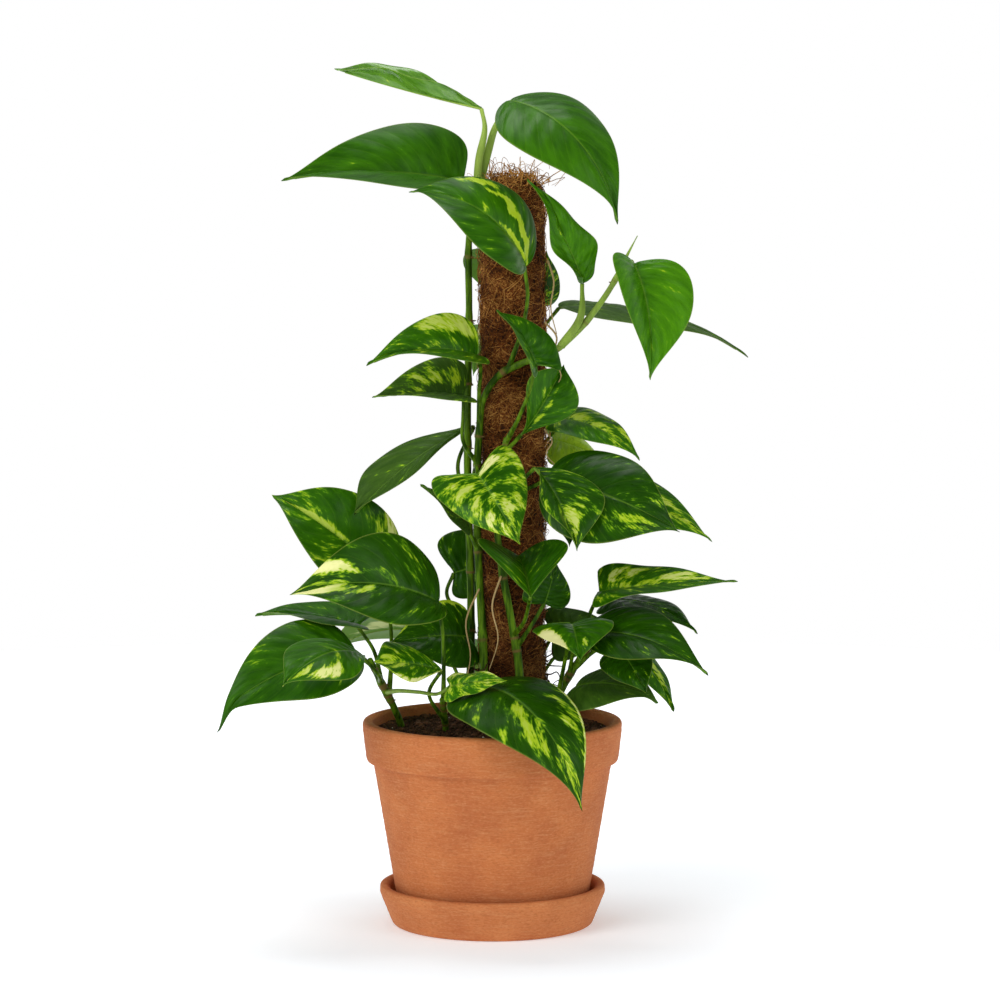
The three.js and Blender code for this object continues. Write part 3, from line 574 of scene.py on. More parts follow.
@dataclass
class MeshDraft:
    """The points, faces and named values of a piece while it is made, in millimetres."""

    points: list[np.ndarray] = field(default_factory=list)
    faces: list[tuple[np.ndarray, int]] = field(default_factory=list)
    values: dict[str, list[tuple[int, np.ndarray]]] = field(default_factory=dict)
    count: int = 0

    def add(self, points: np.ndarray, faces: Sequence[np.ndarray], slot: int = 0,
            **values: np.ndarray) -> None:
        """Adds a part with its own point numbers.

        Args:
            points: one row of x, y and z for each point.
            faces: arrays of point numbers, each with one number of corners.
            slot: the material slot of its faces.
            values: named values, one number or one vector for each point.
        """
        for block in faces:
            if len(block):
                self.faces.append((np.asarray(block, int) + self.count, slot))
        for name, value in values.items():
            self.values.setdefault(name, []).append((self.count, np.asarray(value, float)))
        self.points.append(np.asarray(points, float))
        self.count += len(points)

    def build(self, name: str, finishes: Sequence[Finish], smooth: bool = True) -> bpy.types.Object:
        """Makes the piece and puts it on the body.

        Args:
            name: the piece's name.
            finishes: the finishes of its material slots, in order.
            smooth: whether its faces shade smoothly.

        Returns:
            The new object.
        """
        mesh = bpy.data.meshes.new(name)
        places = np.concatenate(self.points) * MM
        sizes = np.concatenate([np.full(len(block), block.shape[1]) for block, _ in self.faces])
        slots = np.concatenate([np.full(len(block), slot) for block, slot in self.faces])
        corners = np.concatenate([block.ravel() for block, _ in self.faces])
        mesh.vertices.add(len(places))
        mesh.vertices.foreach_set("co", places.ravel())
        mesh.loops.add(len(corners))
        mesh.loops.foreach_set("vertex_index", corners)
        mesh.polygons.add(len(sizes))
        mesh.polygons.foreach_set("loop_start", np.cumsum(sizes) - sizes)
        mesh.polygons.foreach_set("material_index", slots)
        mesh.polygons.foreach_set("use_smooth", np.full(len(sizes), smooth))
        for title, blocks in self.values.items():
            wide = blocks[0][1].ndim == 2
            full = np.zeros((len(places), 3) if wide else len(places))
            for start, value in blocks:
                full[start:start + len(value)] = value
            kind, key = ("FLOAT_VECTOR", "vector") if wide else ("FLOAT", "value")
            mesh.attributes.new(title, kind, "POINT").data.foreach_set(key, full.ravel())
        for finish in finishes:
            mesh.materials.append(finish.material())
        mesh.update(calc_edges=True)
        mesh.validate()
        piece = bpy.data.objects.new(name, mesh)
        bpy.context.scene.collection.objects.link(piece)
        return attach(piece, BODY)


def wall_faces(number: np.ndarray) -> np.ndarray:
    """The quads between rows of points that run round a shape.

    Args:
        number: the points' numbers, with the way round on the last axis and the rows on the one before.

    Returns:
        Four point numbers for each quad.
    """
    after = np.roll(number, -1, -1)
    corners = [number[..., :-1, :], after[..., :-1, :], after[..., 1:, :], number[..., 1:, :]]
    return np.stack(corners, -1).reshape(-1, 4)


def catmull_rom(knots: Sequence[Point], steps: int) -> np.ndarray:
    """Points evenly spaced along a centripetal Catmull-Rom curve.

    Args:
        knots: the points that the curve goes through.
        steps: the number of equal steps.

    Returns:
        One row for each of the steps + 1 points.
    """
    k = np.array(knots, float)
    k = np.vstack([2 * k[0] - k[1], k, 2 * k[-1] - k[-2]])
    fine = []
    share = np.linspace(0, 1, 24, endpoint=False)[:, None]
    for p0, p1, p2, p3 in zip(k, k[1:], k[2:], k[3:]):
        d0, d1, d2 = (max(np.linalg.norm(b - a) ** 0.5, 1e-3) for a, b in ((p0, p1), (p1, p2), (p2, p3)))
        t1 = ((p1 - p0) / d0 - (p2 - p0) / (d0 + d1) + (p2 - p1) / d1) * d1
        t2 = ((p2 - p1) / d1 - (p3 - p1) / (d1 + d2) + (p3 - p2) / d2) * d1
        c2 = -3 * p1 + 3 * p2 - 2 * t1 - t2
        c3 = 2 * p1 - 2 * p2 + t1 + t2
        fine.append(p1 + t1 * share + c2 * share**2 + c3 * share**3)
    fine = np.vstack(fine + [k[-2:-1]])
    gone = np.concatenate([[0], np.cumsum(np.linalg.norm(np.diff(fine, axis=0), axis=1))])
    at = np.linspace(0, gone[-1], steps + 1)
    return np.stack([np.interp(at, gone, fine[:, i]) for i in range(3)], 1)


@dataclass
class Tubes:
    """Closed tubes along many paths at once, such as strands, stalks and stems."""

    paths: np.ndarray  # tubes, points of each, 3
    radii: np.ndarray  # tubes, points of each
    sides: int
    up: np.ndarray | None = None  # the side that a groove opens to
    groove: float = 0.0

    def add_to(self, draft: MeshDraft, slot: int = 0, **values: np.ndarray) -> None:
        """Adds the tubes to a piece.

        Args:
            draft: the piece.
            slot: the material slot of the tubes.
            values: named values, one number for each point of each path.
        """
        tubes, count = self.radii.shape
        ahead = unit(np.gradient(self.paths, axis=1))
        any_way = np.cross(ahead[:, 0], [0.31, 0.52, 0.8])
        normal = any_way if self.up is None else np.broadcast_to(self.up, (tubes, 3))
        normals = np.empty_like(self.paths)
        for i in range(count):
            normal = unit(normal - (normal * ahead[:, i]).sum(1)[:, None] * ahead[:, i])
            normals[:, i] = normal
        across = np.cross(ahead, normals)
        turn = np.arange(self.sides) * 2 * math.pi / self.sides
        dip = 1 - self.groove * np.exp(-((np.minimum(turn, 2 * math.pi - turn) / 0.55) ** 2))
        spokes = (normals[:, :, None] * (np.cos(turn) * dip)[:, None]
                  + across[:, :, None] * (np.sin(turn) * dip)[:, None])
        skin = self.paths[:, :, None] + spokes * self.radii[:, :, None, None]
        number = np.arange(tubes * count * self.sides).reshape(tubes, count, self.sides)
        caps = [number[:, 0, ::-1], number[:, -1]]
        spread = {key: np.repeat(value.ravel(), self.sides) for key, value in values.items()}
        draft.add(skin.reshape(-1, 3), [wall_faces(number), *caps], slot, **spread)


@dataclass
class Turned:
    """A turned shape: a closed profile of [radius, height], rounded at its corners and spun."""

    profile: Sequence[tuple[float, float, float]]  # radius, height, and the rounding of that corner
    segments: int = 200
    step: float = 2.2

    def outline(self) -> np.ndarray:
        """Rounds the corners and splits the long runs.

        Returns:
            Rows of radius and height, with the first row not repeated at the end.
        """
        corners = np.array([p[:2] for p in self.profile], float)
        rounding = [p[2] for p in self.profile]
        rows: list[np.ndarray] = []
        for i, here in enumerate(corners):
            before, after = corners[i - 1], corners[(i + 1) % len(corners)]
            free = 0.48 * min(np.linalg.norm(before - here), np.linalg.norm(after - here))
            reach = min(rounding[i], free)
            start = here + unit(before - here) * reach
            end = here + unit(after - here) * reach
            for share in np.linspace(0, 1, 7 if reach > 0 else 1):
                rows.append((1 - share) ** 2 * start + 2 * share * (1 - share) * here + share**2 * end)
        split: list[np.ndarray] = []
        for i, row in enumerate(rows):
            following = rows[(i + 1) % len(rows)]
            parts = max(1, int(np.linalg.norm(following - row) / self.step))
            split += [row + (following - row) * k / parts for k in range(parts)]
        return np.array(split)

    def add_to(self, draft: MeshDraft, uneven: float, seed: int) -> None:
        """Spins the outline into a piece.

        Args:
            draft: the piece.
            uneven: how far the hand-turned wall strays, in mm.
            seed: fixes the unevenness.
        """
        rng = np.random.default_rng(seed)
        rows = self.outline()
        turn = np.linspace(0, 2 * math.pi, self.segments, endpoint=False)
        radius, height = rows[:, 0][:, None], rows[:, 1][:, None]
        sway = sum(a * np.sin(k * turn + height * w + p) for k, a, w, p in zip(
            (2, 3, 5, 1), (0.5, 0.25, 0.12, 0.3), rng.uniform(0.01, 0.05, 4), rng.uniform(0, 6, 4)))
        rings = 0.4 * np.sin(height * 1.45 + 0.4 * np.sin(turn)) + 0.3 * np.sin(height * 0.63 + turn)
        out = radius + uneven * (sway + rings * 0.5) * np.minimum(radius / 40, 1)
        points = np.stack([out * np.cos(turn), out * np.sin(turn), height + 0 * turn], -1)
        number = np.arange(points.shape[0] * points.shape[1]).reshape(points.shape[:2])
        draft.add(points.reshape(-1, 3), [wall_faces(np.vstack([number, number[:1]]))])


# ---------------------------------------------------------------- stems


@dataclass
class Stem:
    """A climbing stem: its route from under the soil to its tip, with rings where leaves grow."""

    name: str
    radii: tuple[float, float]
    route: tuple[Point, ...]
    shoot: float = 0.0  # how much of its end is this season's pale growth, furled to a point

    FIRST_JOINT: ClassVar[float] = 158  # height of the lowest joint that may be bare of leaves
    JOINT_GAP: ClassVar[float] = 44
    SWELL: ClassVar[float] = 3.2  # reach of the thickening at a joint
    RING: ClassVar[float] = 0.9  # reach of the corky ring just below it
    NUB: ClassVar[tuple[float, ...]] = (0.9, 0.85, 0.75, 0.65, 0.5, 0.15)  # radii along a root nub

    def axis(self) -> np.ndarray:
        """Finds points along the stem.

        Returns:
            The points, about 1.5 mm apart.
        """
        rough = catmull_rom(self.route, 20)
        length = np.linalg.norm(np.diff(rough, axis=0), axis=1).sum()
        return catmull_rom(self.route, int(length / 1.5))

    def point_at(self, height: float) -> np.ndarray:
        """The point of the axis at a height above the ground."""
        axis = self.axis()
        return np.array([np.interp(height, axis[:, 2], axis[:, i]) for i in range(3)])

    def build(self, heights: Sequence[float], seed: int) -> bpy.types.Object:
        """Makes the stem, thicker and ringed at its joints, with root nubs behind them.

        Args:
            heights: where leaves grow from it.
            seed: fixes the nubs.

        Returns:
            The stem.
        """
        rng = np.random.default_rng(seed)
        axis = self.axis()
        bare = np.arange(self.FIRST_JOINT, axis[-1, 2] - 8, self.JOINT_GAP)
        clear = {h for h in bare if min((abs(h - j) for j in heights), default=99) > 16}
        joints = sorted(set(heights) | clear)
        spot = axis[:, 2][:, None] - np.array(joints or [0.0])
        swell = np.exp(-((spot / self.SWELL) ** 2)).sum(1)
        ring = np.exp(-(((spot + 2.2) / self.RING) ** 2)).sum(1)
        radius = np.linspace(*self.radii, len(axis)) * (1 + 0.16 * swell + 0.09 * ring)
        wobble = 0.04 * np.sin(np.linspace(0, len(axis) / 7, len(axis)) + seed)
        rest = np.linspace(np.linalg.norm(np.diff(axis, axis=0), axis=1).sum(), 0, len(axis))
        young = 0.5 * smoothstep(1.3, 0.8, rest / self.shoot) if self.shoot else 0 * rest
        point = np.clip(3 * rest / self.shoot, 0.12, 1) ** 0.8 if self.shoot else 1 + 0 * rest
        draft = MeshDraft()
        cork = np.clip(0.75 * ring + 0.15 * swell, 0, 1) * (1 - 0.7 * young)
        Tubes(axis[None], (radius * (1 + wobble) * point)[None], 14).add_to(draft, cork=cork, young=young)
        pole = np.array([COIR_POLE.x, COIR_POLE.y])
        along = np.linspace(0, 1, len(self.NUB))
        for height in joints:
            here = self.point_at(height - 3)
            inward = np.append(unit(pole - here[:2]), 0)
            for _ in range(2):
                aim = inward + rng.normal(0, 0.5, 3) * (1, 1, 0.6)
                reach = rng.uniform(3.2, 5.5)
                path = here + along[:, None] * unit(aim) * reach
                Tubes(path[None], np.array([self.NUB]), 7).add_to(draft, cork=0.5 + 0.5 * along)
        piece = draft.build(self.name + "_live", [GREEN_SKIN])
        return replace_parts(piece, self.name)


# ---------------------------------------------------------------- leaves


@dataclass
class Leaf:
    """A leaf: a heart-shaped blade bent along its midrib, its grooved stalk and the rib under it."""

    name: str
    stem: str
    node: float  # the height at which its stalk leaves the stem
    bends: tuple[Point, ...]  # points that the stalk passes
    base: Point  # where stalk and blade meet
    tip: Point
    face: Point  # the way that the upper side looks
    width: float
    arch: float = 0.6  # how far the midrib bends down from base to tip, in radians
    fold: float = 0.1  # how far the halves rise beside the midrib, in radians
    curl: float = 0.5  # how far each half bends back down towards its margin, in radians
    twist: float = 0.0  # turn about the midrib from base to tip, in radians
    lobe: float = 0.8  # how far the lobes reach back past the base
    widest: float = 0.33  # where the blade is widest, from 0 at the base to 1 at the tip
    wave: float = 1.0  # height of the waves along the margin
    lean: float = 0.0  # how much wider the one half is than the other
    tone: LeafTone = LeafTone.MID
    marbled: float = 0.0  # how readily pale flecks break out all over
    cream: float = 0.3  # how far the pale parts go from yellow-green to cream
    patches: tuple[tuple[float, ...], ...] = ()  # across, along, reach across, reach along, strength, cream
    crinkle: float = 1.0  # how uneven the blade is for its age
    sheath: float = 0.25  # how much wider than the rest the foot of the stalk is
    drip: float = 0.0  # how far the last of the tip hangs down
    slot: str = "leaf_green"

    THICKNESS: ClassVar[float] = 0.55  # of the blade
    STALK: ClassVar[float] = 1.35  # radius of the stalk near its middle
    KNEE: ClassVar[float] = 4.5  # how far the swelling under the blade reaches along the stalk
    RIB: ClassVar[float] = 0.95  # radius of the rib under the blade at its base
    ROWS: ClassVar[int] = 60  # of points from base to tip
    # the points of half a row, from midrib to margin
    HALF: ClassVar[tuple[float, ...]] = (
        0.0, 0.014, 0.035, 0.07, 0.13, 0.21, 0.3, 0.4, 0.5, 0.6, 0.7, 0.79, 0.87, 0.93, 0.97, 1.0,
    )

    def frame(self) -> tuple[np.ndarray, np.ndarray, np.ndarray, float]:
        """Finds how the blade lies.

        Returns:
            Its directions ahead, up and to its side, and the length from base to tip.
        """
        run = np.subtract(self.tip, self.base).astype(float)
        chord = float(np.linalg.norm(run))
        ahead = run / chord
        up = np.array(self.face, float)
        up = unit(up - up.dot(ahead) * ahead)
        return ahead, up, np.cross(up, ahead), chord

    def bend(self, along: np.ndarray, across: np.ndarray) -> np.ndarray:
        """Bends flat points into the blade.

        Args:
            along: from 0 at the base to 1 at the tip.
            across: from -1 to 1, over the blade's greatest width.

        Returns:
            The points.
        """
        ahead, up, side, chord = self.frame()
        along, across = along[..., None], across[..., None]
        half = self.arch / 2
        radius = chord / (2 * math.sin(half))
        angle = half - self.arch * along
        curl = max(self.curl, 1e-3)
        spine = (np.array(self.base, float) + ahead * radius * (math.sin(half) - np.sin(angle))
                 + up * radius * (np.cos(angle) - math.cos(half)))
        normal = up * np.cos(angle) - ahead * np.sin(angle)
        turn = self.twist * along
        width = side * np.cos(turn) + normal * np.sin(turn)
        lift = normal * np.cos(turn) - side * np.sin(turn)
        reach, way = np.abs(across), np.sign(across)
        spread = (math.sin(self.fold) - np.sin(self.fold - curl * reach)) / curl
        rise = (np.cos(self.fold - curl * reach) - math.cos(self.fold)) / curl
        ripple = self.wave * reach**2 * np.sin(3 * math.pi * along + way)
        return (spine + width * way * spread * self.width / 2 * (1 + self.lean * way)
                + lift * (rise * self.width / 2 + ripple))

    def flat(self, place: np.ndarray, span: np.ndarray) -> tuple[np.ndarray, np.ndarray]:
        """Lays out the heart shape, flat.

        Args:
            place: from 0 at the base to 1 at the tip.
            span: the share of the way from midrib to margin, from -1 to 1.

        Returns:
            Where those points are along and across the blade.
        """
        bulge = math.log(0.5) / math.log(self.widest)
        margin = place - self.lobe * np.sin(math.pi * place) * (1 - place) ** 3
        reach = np.sin(math.pi * np.clip(place, 0, 1) ** bulge) ** (1 + 0.5 * place)
        rib = place**1.6
        return rib + (margin - rib) * np.abs(span), span * reach

    def sheet(self) -> tuple[np.ndarray, list[np.ndarray], np.ndarray, np.ndarray, np.ndarray]:
        """The fine middle surface of the blade.

        Returns:
            Its points, its faces with their fronts up, its margin in order, and the place and span of
            each point.
        """
        spans = np.concatenate([-np.array(self.HALF[:0:-1]), np.array(self.HALF)])
        places = (np.arange(1, self.ROWS) / self.ROWS) ** 1.25
        place, span = np.meshgrid(places, spans, indexing="ij")
        along, across = self.flat(place, span)
        inner = self.bend(along, across).reshape(-1, 3)
        ends = self.bend(np.array([0.0, 1.0]), np.array([0.0, 0.0]))
        number = np.arange(place.size).reshape(place.shape)
        base, tip = place.size, place.size + 1
        quads = np.stack([number[:-1, :-1], number[1:, :-1], number[1:, 1:], number[:-1, 1:]], -1)
        first = np.stack([np.full(len(spans) - 1, base), number[0, :-1], number[0, 1:]], 1)
        last = np.stack([np.full(len(spans) - 1, tip), number[-1, 1:], number[-1, :-1]], 1)
        margin = np.concatenate([[base], number[:, 0], [tip], number[::-1, -1]])
        return (np.vstack([inner, ends]), [quads.reshape(-1, 4), first, last], margin,
                np.append(place.ravel(), [0.0, 1.0]), np.append(span.ravel(), [0.0, 0.0]))

    def vein(self, place: np.ndarray | float, span: np.ndarray | float) -> np.ndarray:
        """Which side vein a point is on, as the place where that vein leaves the midrib."""
        return place - 0.16 * np.abs(span) ** 1.3

    def relief(self, place: np.ndarray, span: np.ndarray, rng: np.random.Generator) -> np.ndarray:
        """How far each point of the blade stands up: the sunk midrib, the quilting between side veins
        and slow unevenness.

        Args:
            place: the place of each point from base to tip.
            span: the share of the way from midrib to margin.
            rng: the leaf's own random numbers.

        Returns:
            The height of each point in mm.
        """
        out = np.abs(span)
        wide = np.sin(math.pi * np.clip(place, 0.02, 1)) * self.width / 2
        groove = -0.5 * np.exp(-((out * wide / 1.1) ** 2)) * smoothstep(1.0, 0.8, place)
        quilt = 0.2 * np.cos(2 * math.pi * SIDE_VEINS * place + math.pi) * np.sin(math.pi * out**0.8)
        slow = sum(a * np.sin(u * span + v * place + p) for a, u, v, p in zip(
            (0.7, 0.5, 0.35), rng.uniform(-5, 5, 3), rng.uniform(3, 11, 3), rng.uniform(0, 6, 3)))
        uneven = self.crinkle * slow * smoothstep(0.02, 0.3, out)
        return groove + (quilt * self.crinkle**0.5 + uneven) * smoothstep(0.0, 0.15, place)

    def tints(self, place: np.ndarray, span: np.ndarray, rng: np.random.Generator) -> np.ndarray:
        """The pale, cream and light value of each point.

        Args:
            place: the place of each point from base to tip.
            span: the share of the way from midrib to margin.
            rng: the leaf's own random numbers.

        Returns:
            One row of three values for each point.
        """
        pale = np.full(place.shape, self.marbled)
        cream = np.full(place.shape, self.cream)
        vein = self.vein(place, span)
        for at_span, at_place, reach_span, reach_place, strength, creamy in self.patches:
            away = vein - self.vein(at_place, at_span)
            gap = np.hypot((span - at_span) / reach_span, away / reach_place)
            share = smoothstep(1.25, 0.55, gap)
            pale = np.maximum(pale, strength * share)
            cream += (creamy - cream) * share
        light = rng.uniform(-0.06, 0.06) + 0.05 * np.sin(3 * span + rng.uniform(0, 6))
        return np.stack([pale, cream, light + 0 * place], 1)

    def add_blade(self, draft: MeshDraft, rng: np.random.Generator) -> None:
        """Adds the blade as a closed thin shell.

        Args:
            draft: the piece.
            rng: the leaf's own random numbers.
        """
        points, faces, margin, place, span = self.sheet()
        normals = np.zeros_like(points)
        for block in faces:
            corners = points[block]
            facing = np.cross(corners[:, 1] - corners[:, 0], corners[:, 2] - corners[:, 0])
            for k in range(block.shape[1]):
                np.add.at(normals, block[:, k], facing)
        normals = unit(normals)
        points = points + normals * self.relief(place, span, rng)[:, None]
        points[:, 2] -= self.drip * smoothstep(0.84, 1.0, place) ** 2
        half = self.THICKNESS / 2
        taper = 1 - 0.5 * smoothstep(0.9, 1.0, np.abs(span))[:, None]
        upper = points + normals * half * taper
        lower = points - normals * half * taper
        around = points[margin]
        outward = unit(np.cross(np.roll(around, -1, 0) - np.roll(around, 1, 0), normals[margin]))
        centre = points.mean(0)
        outward *= np.sign((outward * (around - centre)).sum(1).mean())
        edge = around + outward * half * 0.6
        count, ring = len(points), len(margin)
        blade = np.stack([span, self.vein(place, span), np.full(count, rng.uniform(0, 50))], 1)
        tint = self.tints(place, span, rng)
        marks = {"blade": blade, "tint": tint}
        draft.add(upper, faces, 0, **marks)
        draft.add(lower, [block[:, ::-1] for block in faces], 1, **marks)
        low, high = count + margin, margin
        following = np.roll(np.arange(ring), -1)
        mid = 2 * count + np.arange(ring)
        rim = np.concatenate([np.stack([high, mid, mid[following], high[following]], 1),
                              np.stack([mid, low, low[following], mid[following]], 1)])
        draft.add(edge, [], 0, blade=blade[margin], tint=tint[margin])
        first = draft.count - 2 * count - ring
        draft.faces.append((rim + first, 0))

    def under(self, along: np.ndarray, depth: np.ndarray) -> np.ndarray:
        """Finds points under the midrib.

        Args:
            along: from 0 at the base to 1 at the tip.
            depth: how far under the blade, for each point.

        Returns:
            The points.
        """
        zero = np.zeros_like(along)
        spine = self.bend(along, zero)
        ahead = self.bend(along + 0.01, zero) - spine
        side = self.bend(along, zero + 0.02) - self.bend(along, zero - 0.02)
        normal = unit(np.cross(side, ahead))
        normal *= np.sign((normal * self.frame()[1]).sum(-1, keepdims=True))
        return spine - normal * depth[:, None]

    def build(self, stem: Stem, seed: int) -> bpy.types.Object:
        """Makes the leaf.

        Args:
            stem: the stem that carries it.
            seed: fixes its small accidents.

        Returns:
            The leaf.
        """
        rng = np.random.default_rng(seed)
        draft = MeshDraft()
        self.add_blade(draft, rng)
        up = self.frame()[1]
        share = np.linspace(0, 1, 26)
        # the stalk ends just under the base of the blade
        top = self.under(np.zeros(1), np.full(1, 1.3))[0]
        path = catmull_rom([tuple(stem.point_at(self.node)), *self.bends, tuple(top)], 44)
        place = np.linspace(0, 1, len(path))
        length = np.linalg.norm(np.diff(path, axis=0), axis=1).sum()
        knee = np.exp(-(((1 - place) * length / self.KNEE) ** 2))
        # a plain foot widens over less than half of the stalk, and a sheath over all of it
        sheath = smoothstep(0.4, 0.05, place) if self.sheath < 0.5 else smoothstep(1.0, 0.5, place)
        radius = self.STALK * (1.15 - 0.25 * place) * (1 + 0.2 * knee + self.sheath * sheath)
        young = {LeafTone.YOUNG: 0.9, LeafTone.FRESH: 0.6}.get(self.tone, 0.0) * (1 - 0.6 * place)
        Tubes(path[None], radius[None], 14, up, 0.3).add_to(
            draft, 2, cork=0.12 * knee + 0.2 * sheath**4, young=young)
        depth = 0.55 + 0.55 * (1 - share) ** 2
        rib = self.under(0.93 * share - 0.004, depth)
        thick = self.RIB * (1 - 0.82 * share**0.7)
        Tubes(rib[None], thick[None], 8).add_to(draft, 2, cork=0 * share, young=0.3 + 0 * share)
        lower = self.tone.value if self.tone is LeafTone.YOUNG else UNDERSIDE
        piece = draft.build(self.name + "_live", [self.tone.value, lower, GREEN_SKIN])
        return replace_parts(piece, self.name)


# ---------------------------------------------------------------- pot, saucer, soil and pole


@dataclass
class Pot:
    """A tapered terracotta pot with a rim band, a rounded lip and a drain hole."""

    seat: float = 6.3
    height: float = 136.7
    rim: float = 90
    band: float = 87.5
    band_height: float = 28
    body: float = 82.5
    foot: float = 64.5
    wall: float = 7
    floor: float = 9
    drain: float = 10

    def inner_radius(self, height: float) -> float:
        """The radius of its inner wall.

        Args:
            height: the height above the ground.

        Returns:
            The radius there.
        """
        share = (height - self.seat - self.floor - 3) / (self.height - self.floor - 5.5)
        low, high = self.foot - self.wall + 3, self.rim - self.wall
        return low + (high - low) * share

    def build(self) -> bpy.types.Object:
        """Turns the pot.

        Returns:
            The pot.
        """
        top = self.seat + self.height
        band_low = top - self.band_height
        inner_foot = self.foot - self.wall
        profile = [
            (self.drain, self.seat, 1), (self.foot, self.seat, 3.5),
            (self.body - 0.4, band_low - 5, 5), (self.body + 0.6, band_low - 0.4, 0.8),
            (self.band - 0.3, band_low, 1.3), (self.band + 0.4, band_low + 4, 3), (self.rim, top - 6, 3),
            (self.rim, top, 3.4), (self.rim - self.wall, top, 3.4),
            (inner_foot + 3, self.seat + self.floor + 3, 4), (inner_foot - 6, self.seat + self.floor, 4),
            (self.drain, self.seat + self.floor, 1.5),
        ]
        draft = MeshDraft()
        Turned(profile).add_to(draft, 0.35, 11)
        piece = draft.build("turned_pot", [TERRACOTTA_POT])
        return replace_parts(piece, "pot")


@dataclass
class Saucer:
    """A shallow terracotta dish with a thick round lip."""

    height: float = 28
    rim: float = 78.5
    foot: float = 69.5
    wall: float = 6
    floor: float = 6

    def build(self) -> bpy.types.Object:
        """Turns the saucer.

        Returns:
            The saucer.
        """
        profile = [
            (0.4, 0, 0), (self.foot, 0, 3), (self.rim - 0.9, self.height - 8, 3),
            (self.rim + 0.1, self.height - 5.5, 2), (self.rim, self.height, 3.2),
            (self.rim - self.wall, self.height, 3.0), (self.foot - 3.5, self.floor + 2, 3),
            (self.foot - 5, self.floor, 1.5), (0.4, self.floor, 0),
        ]
        draft = MeshDraft()
        Turned(profile).add_to(draft, 0.3, 23)
        piece = draft.build("turned_saucer", [TERRACOTTA_SAUCER])
        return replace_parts(piece, "saucer")


ICOSAHEDRON = np.array([[-1, 1.618, 0], [1, 1.618, 0], [-1, -1.618, 0], [1, -1.618, 0], [0, -1, 1.618],
                        [0, 1, 1.618], [0, -1, -1.618], [0, 1, -1.618], [1.618, 0, -1], [1.618, 0, 1],
                        [-1.618, 0, -1], [-1.618, 0, 1]]) / 1.902
ICOSAHEDRON_FACES = np.array([
    [0, 11, 5], [0, 5, 1], [0, 1, 7], [0, 7, 10], [0, 10, 11], [1, 5, 9], [5, 11, 4], [11, 10, 2],
    [10, 7, 6], [7, 1, 8], [3, 9, 4], [3, 4, 2], [3, 2, 6], [3, 6, 8], [3, 8, 9], [4, 9, 5], [2, 4, 11],
    [6, 2, 10], [8, 6, 7], [9, 8, 1],
])


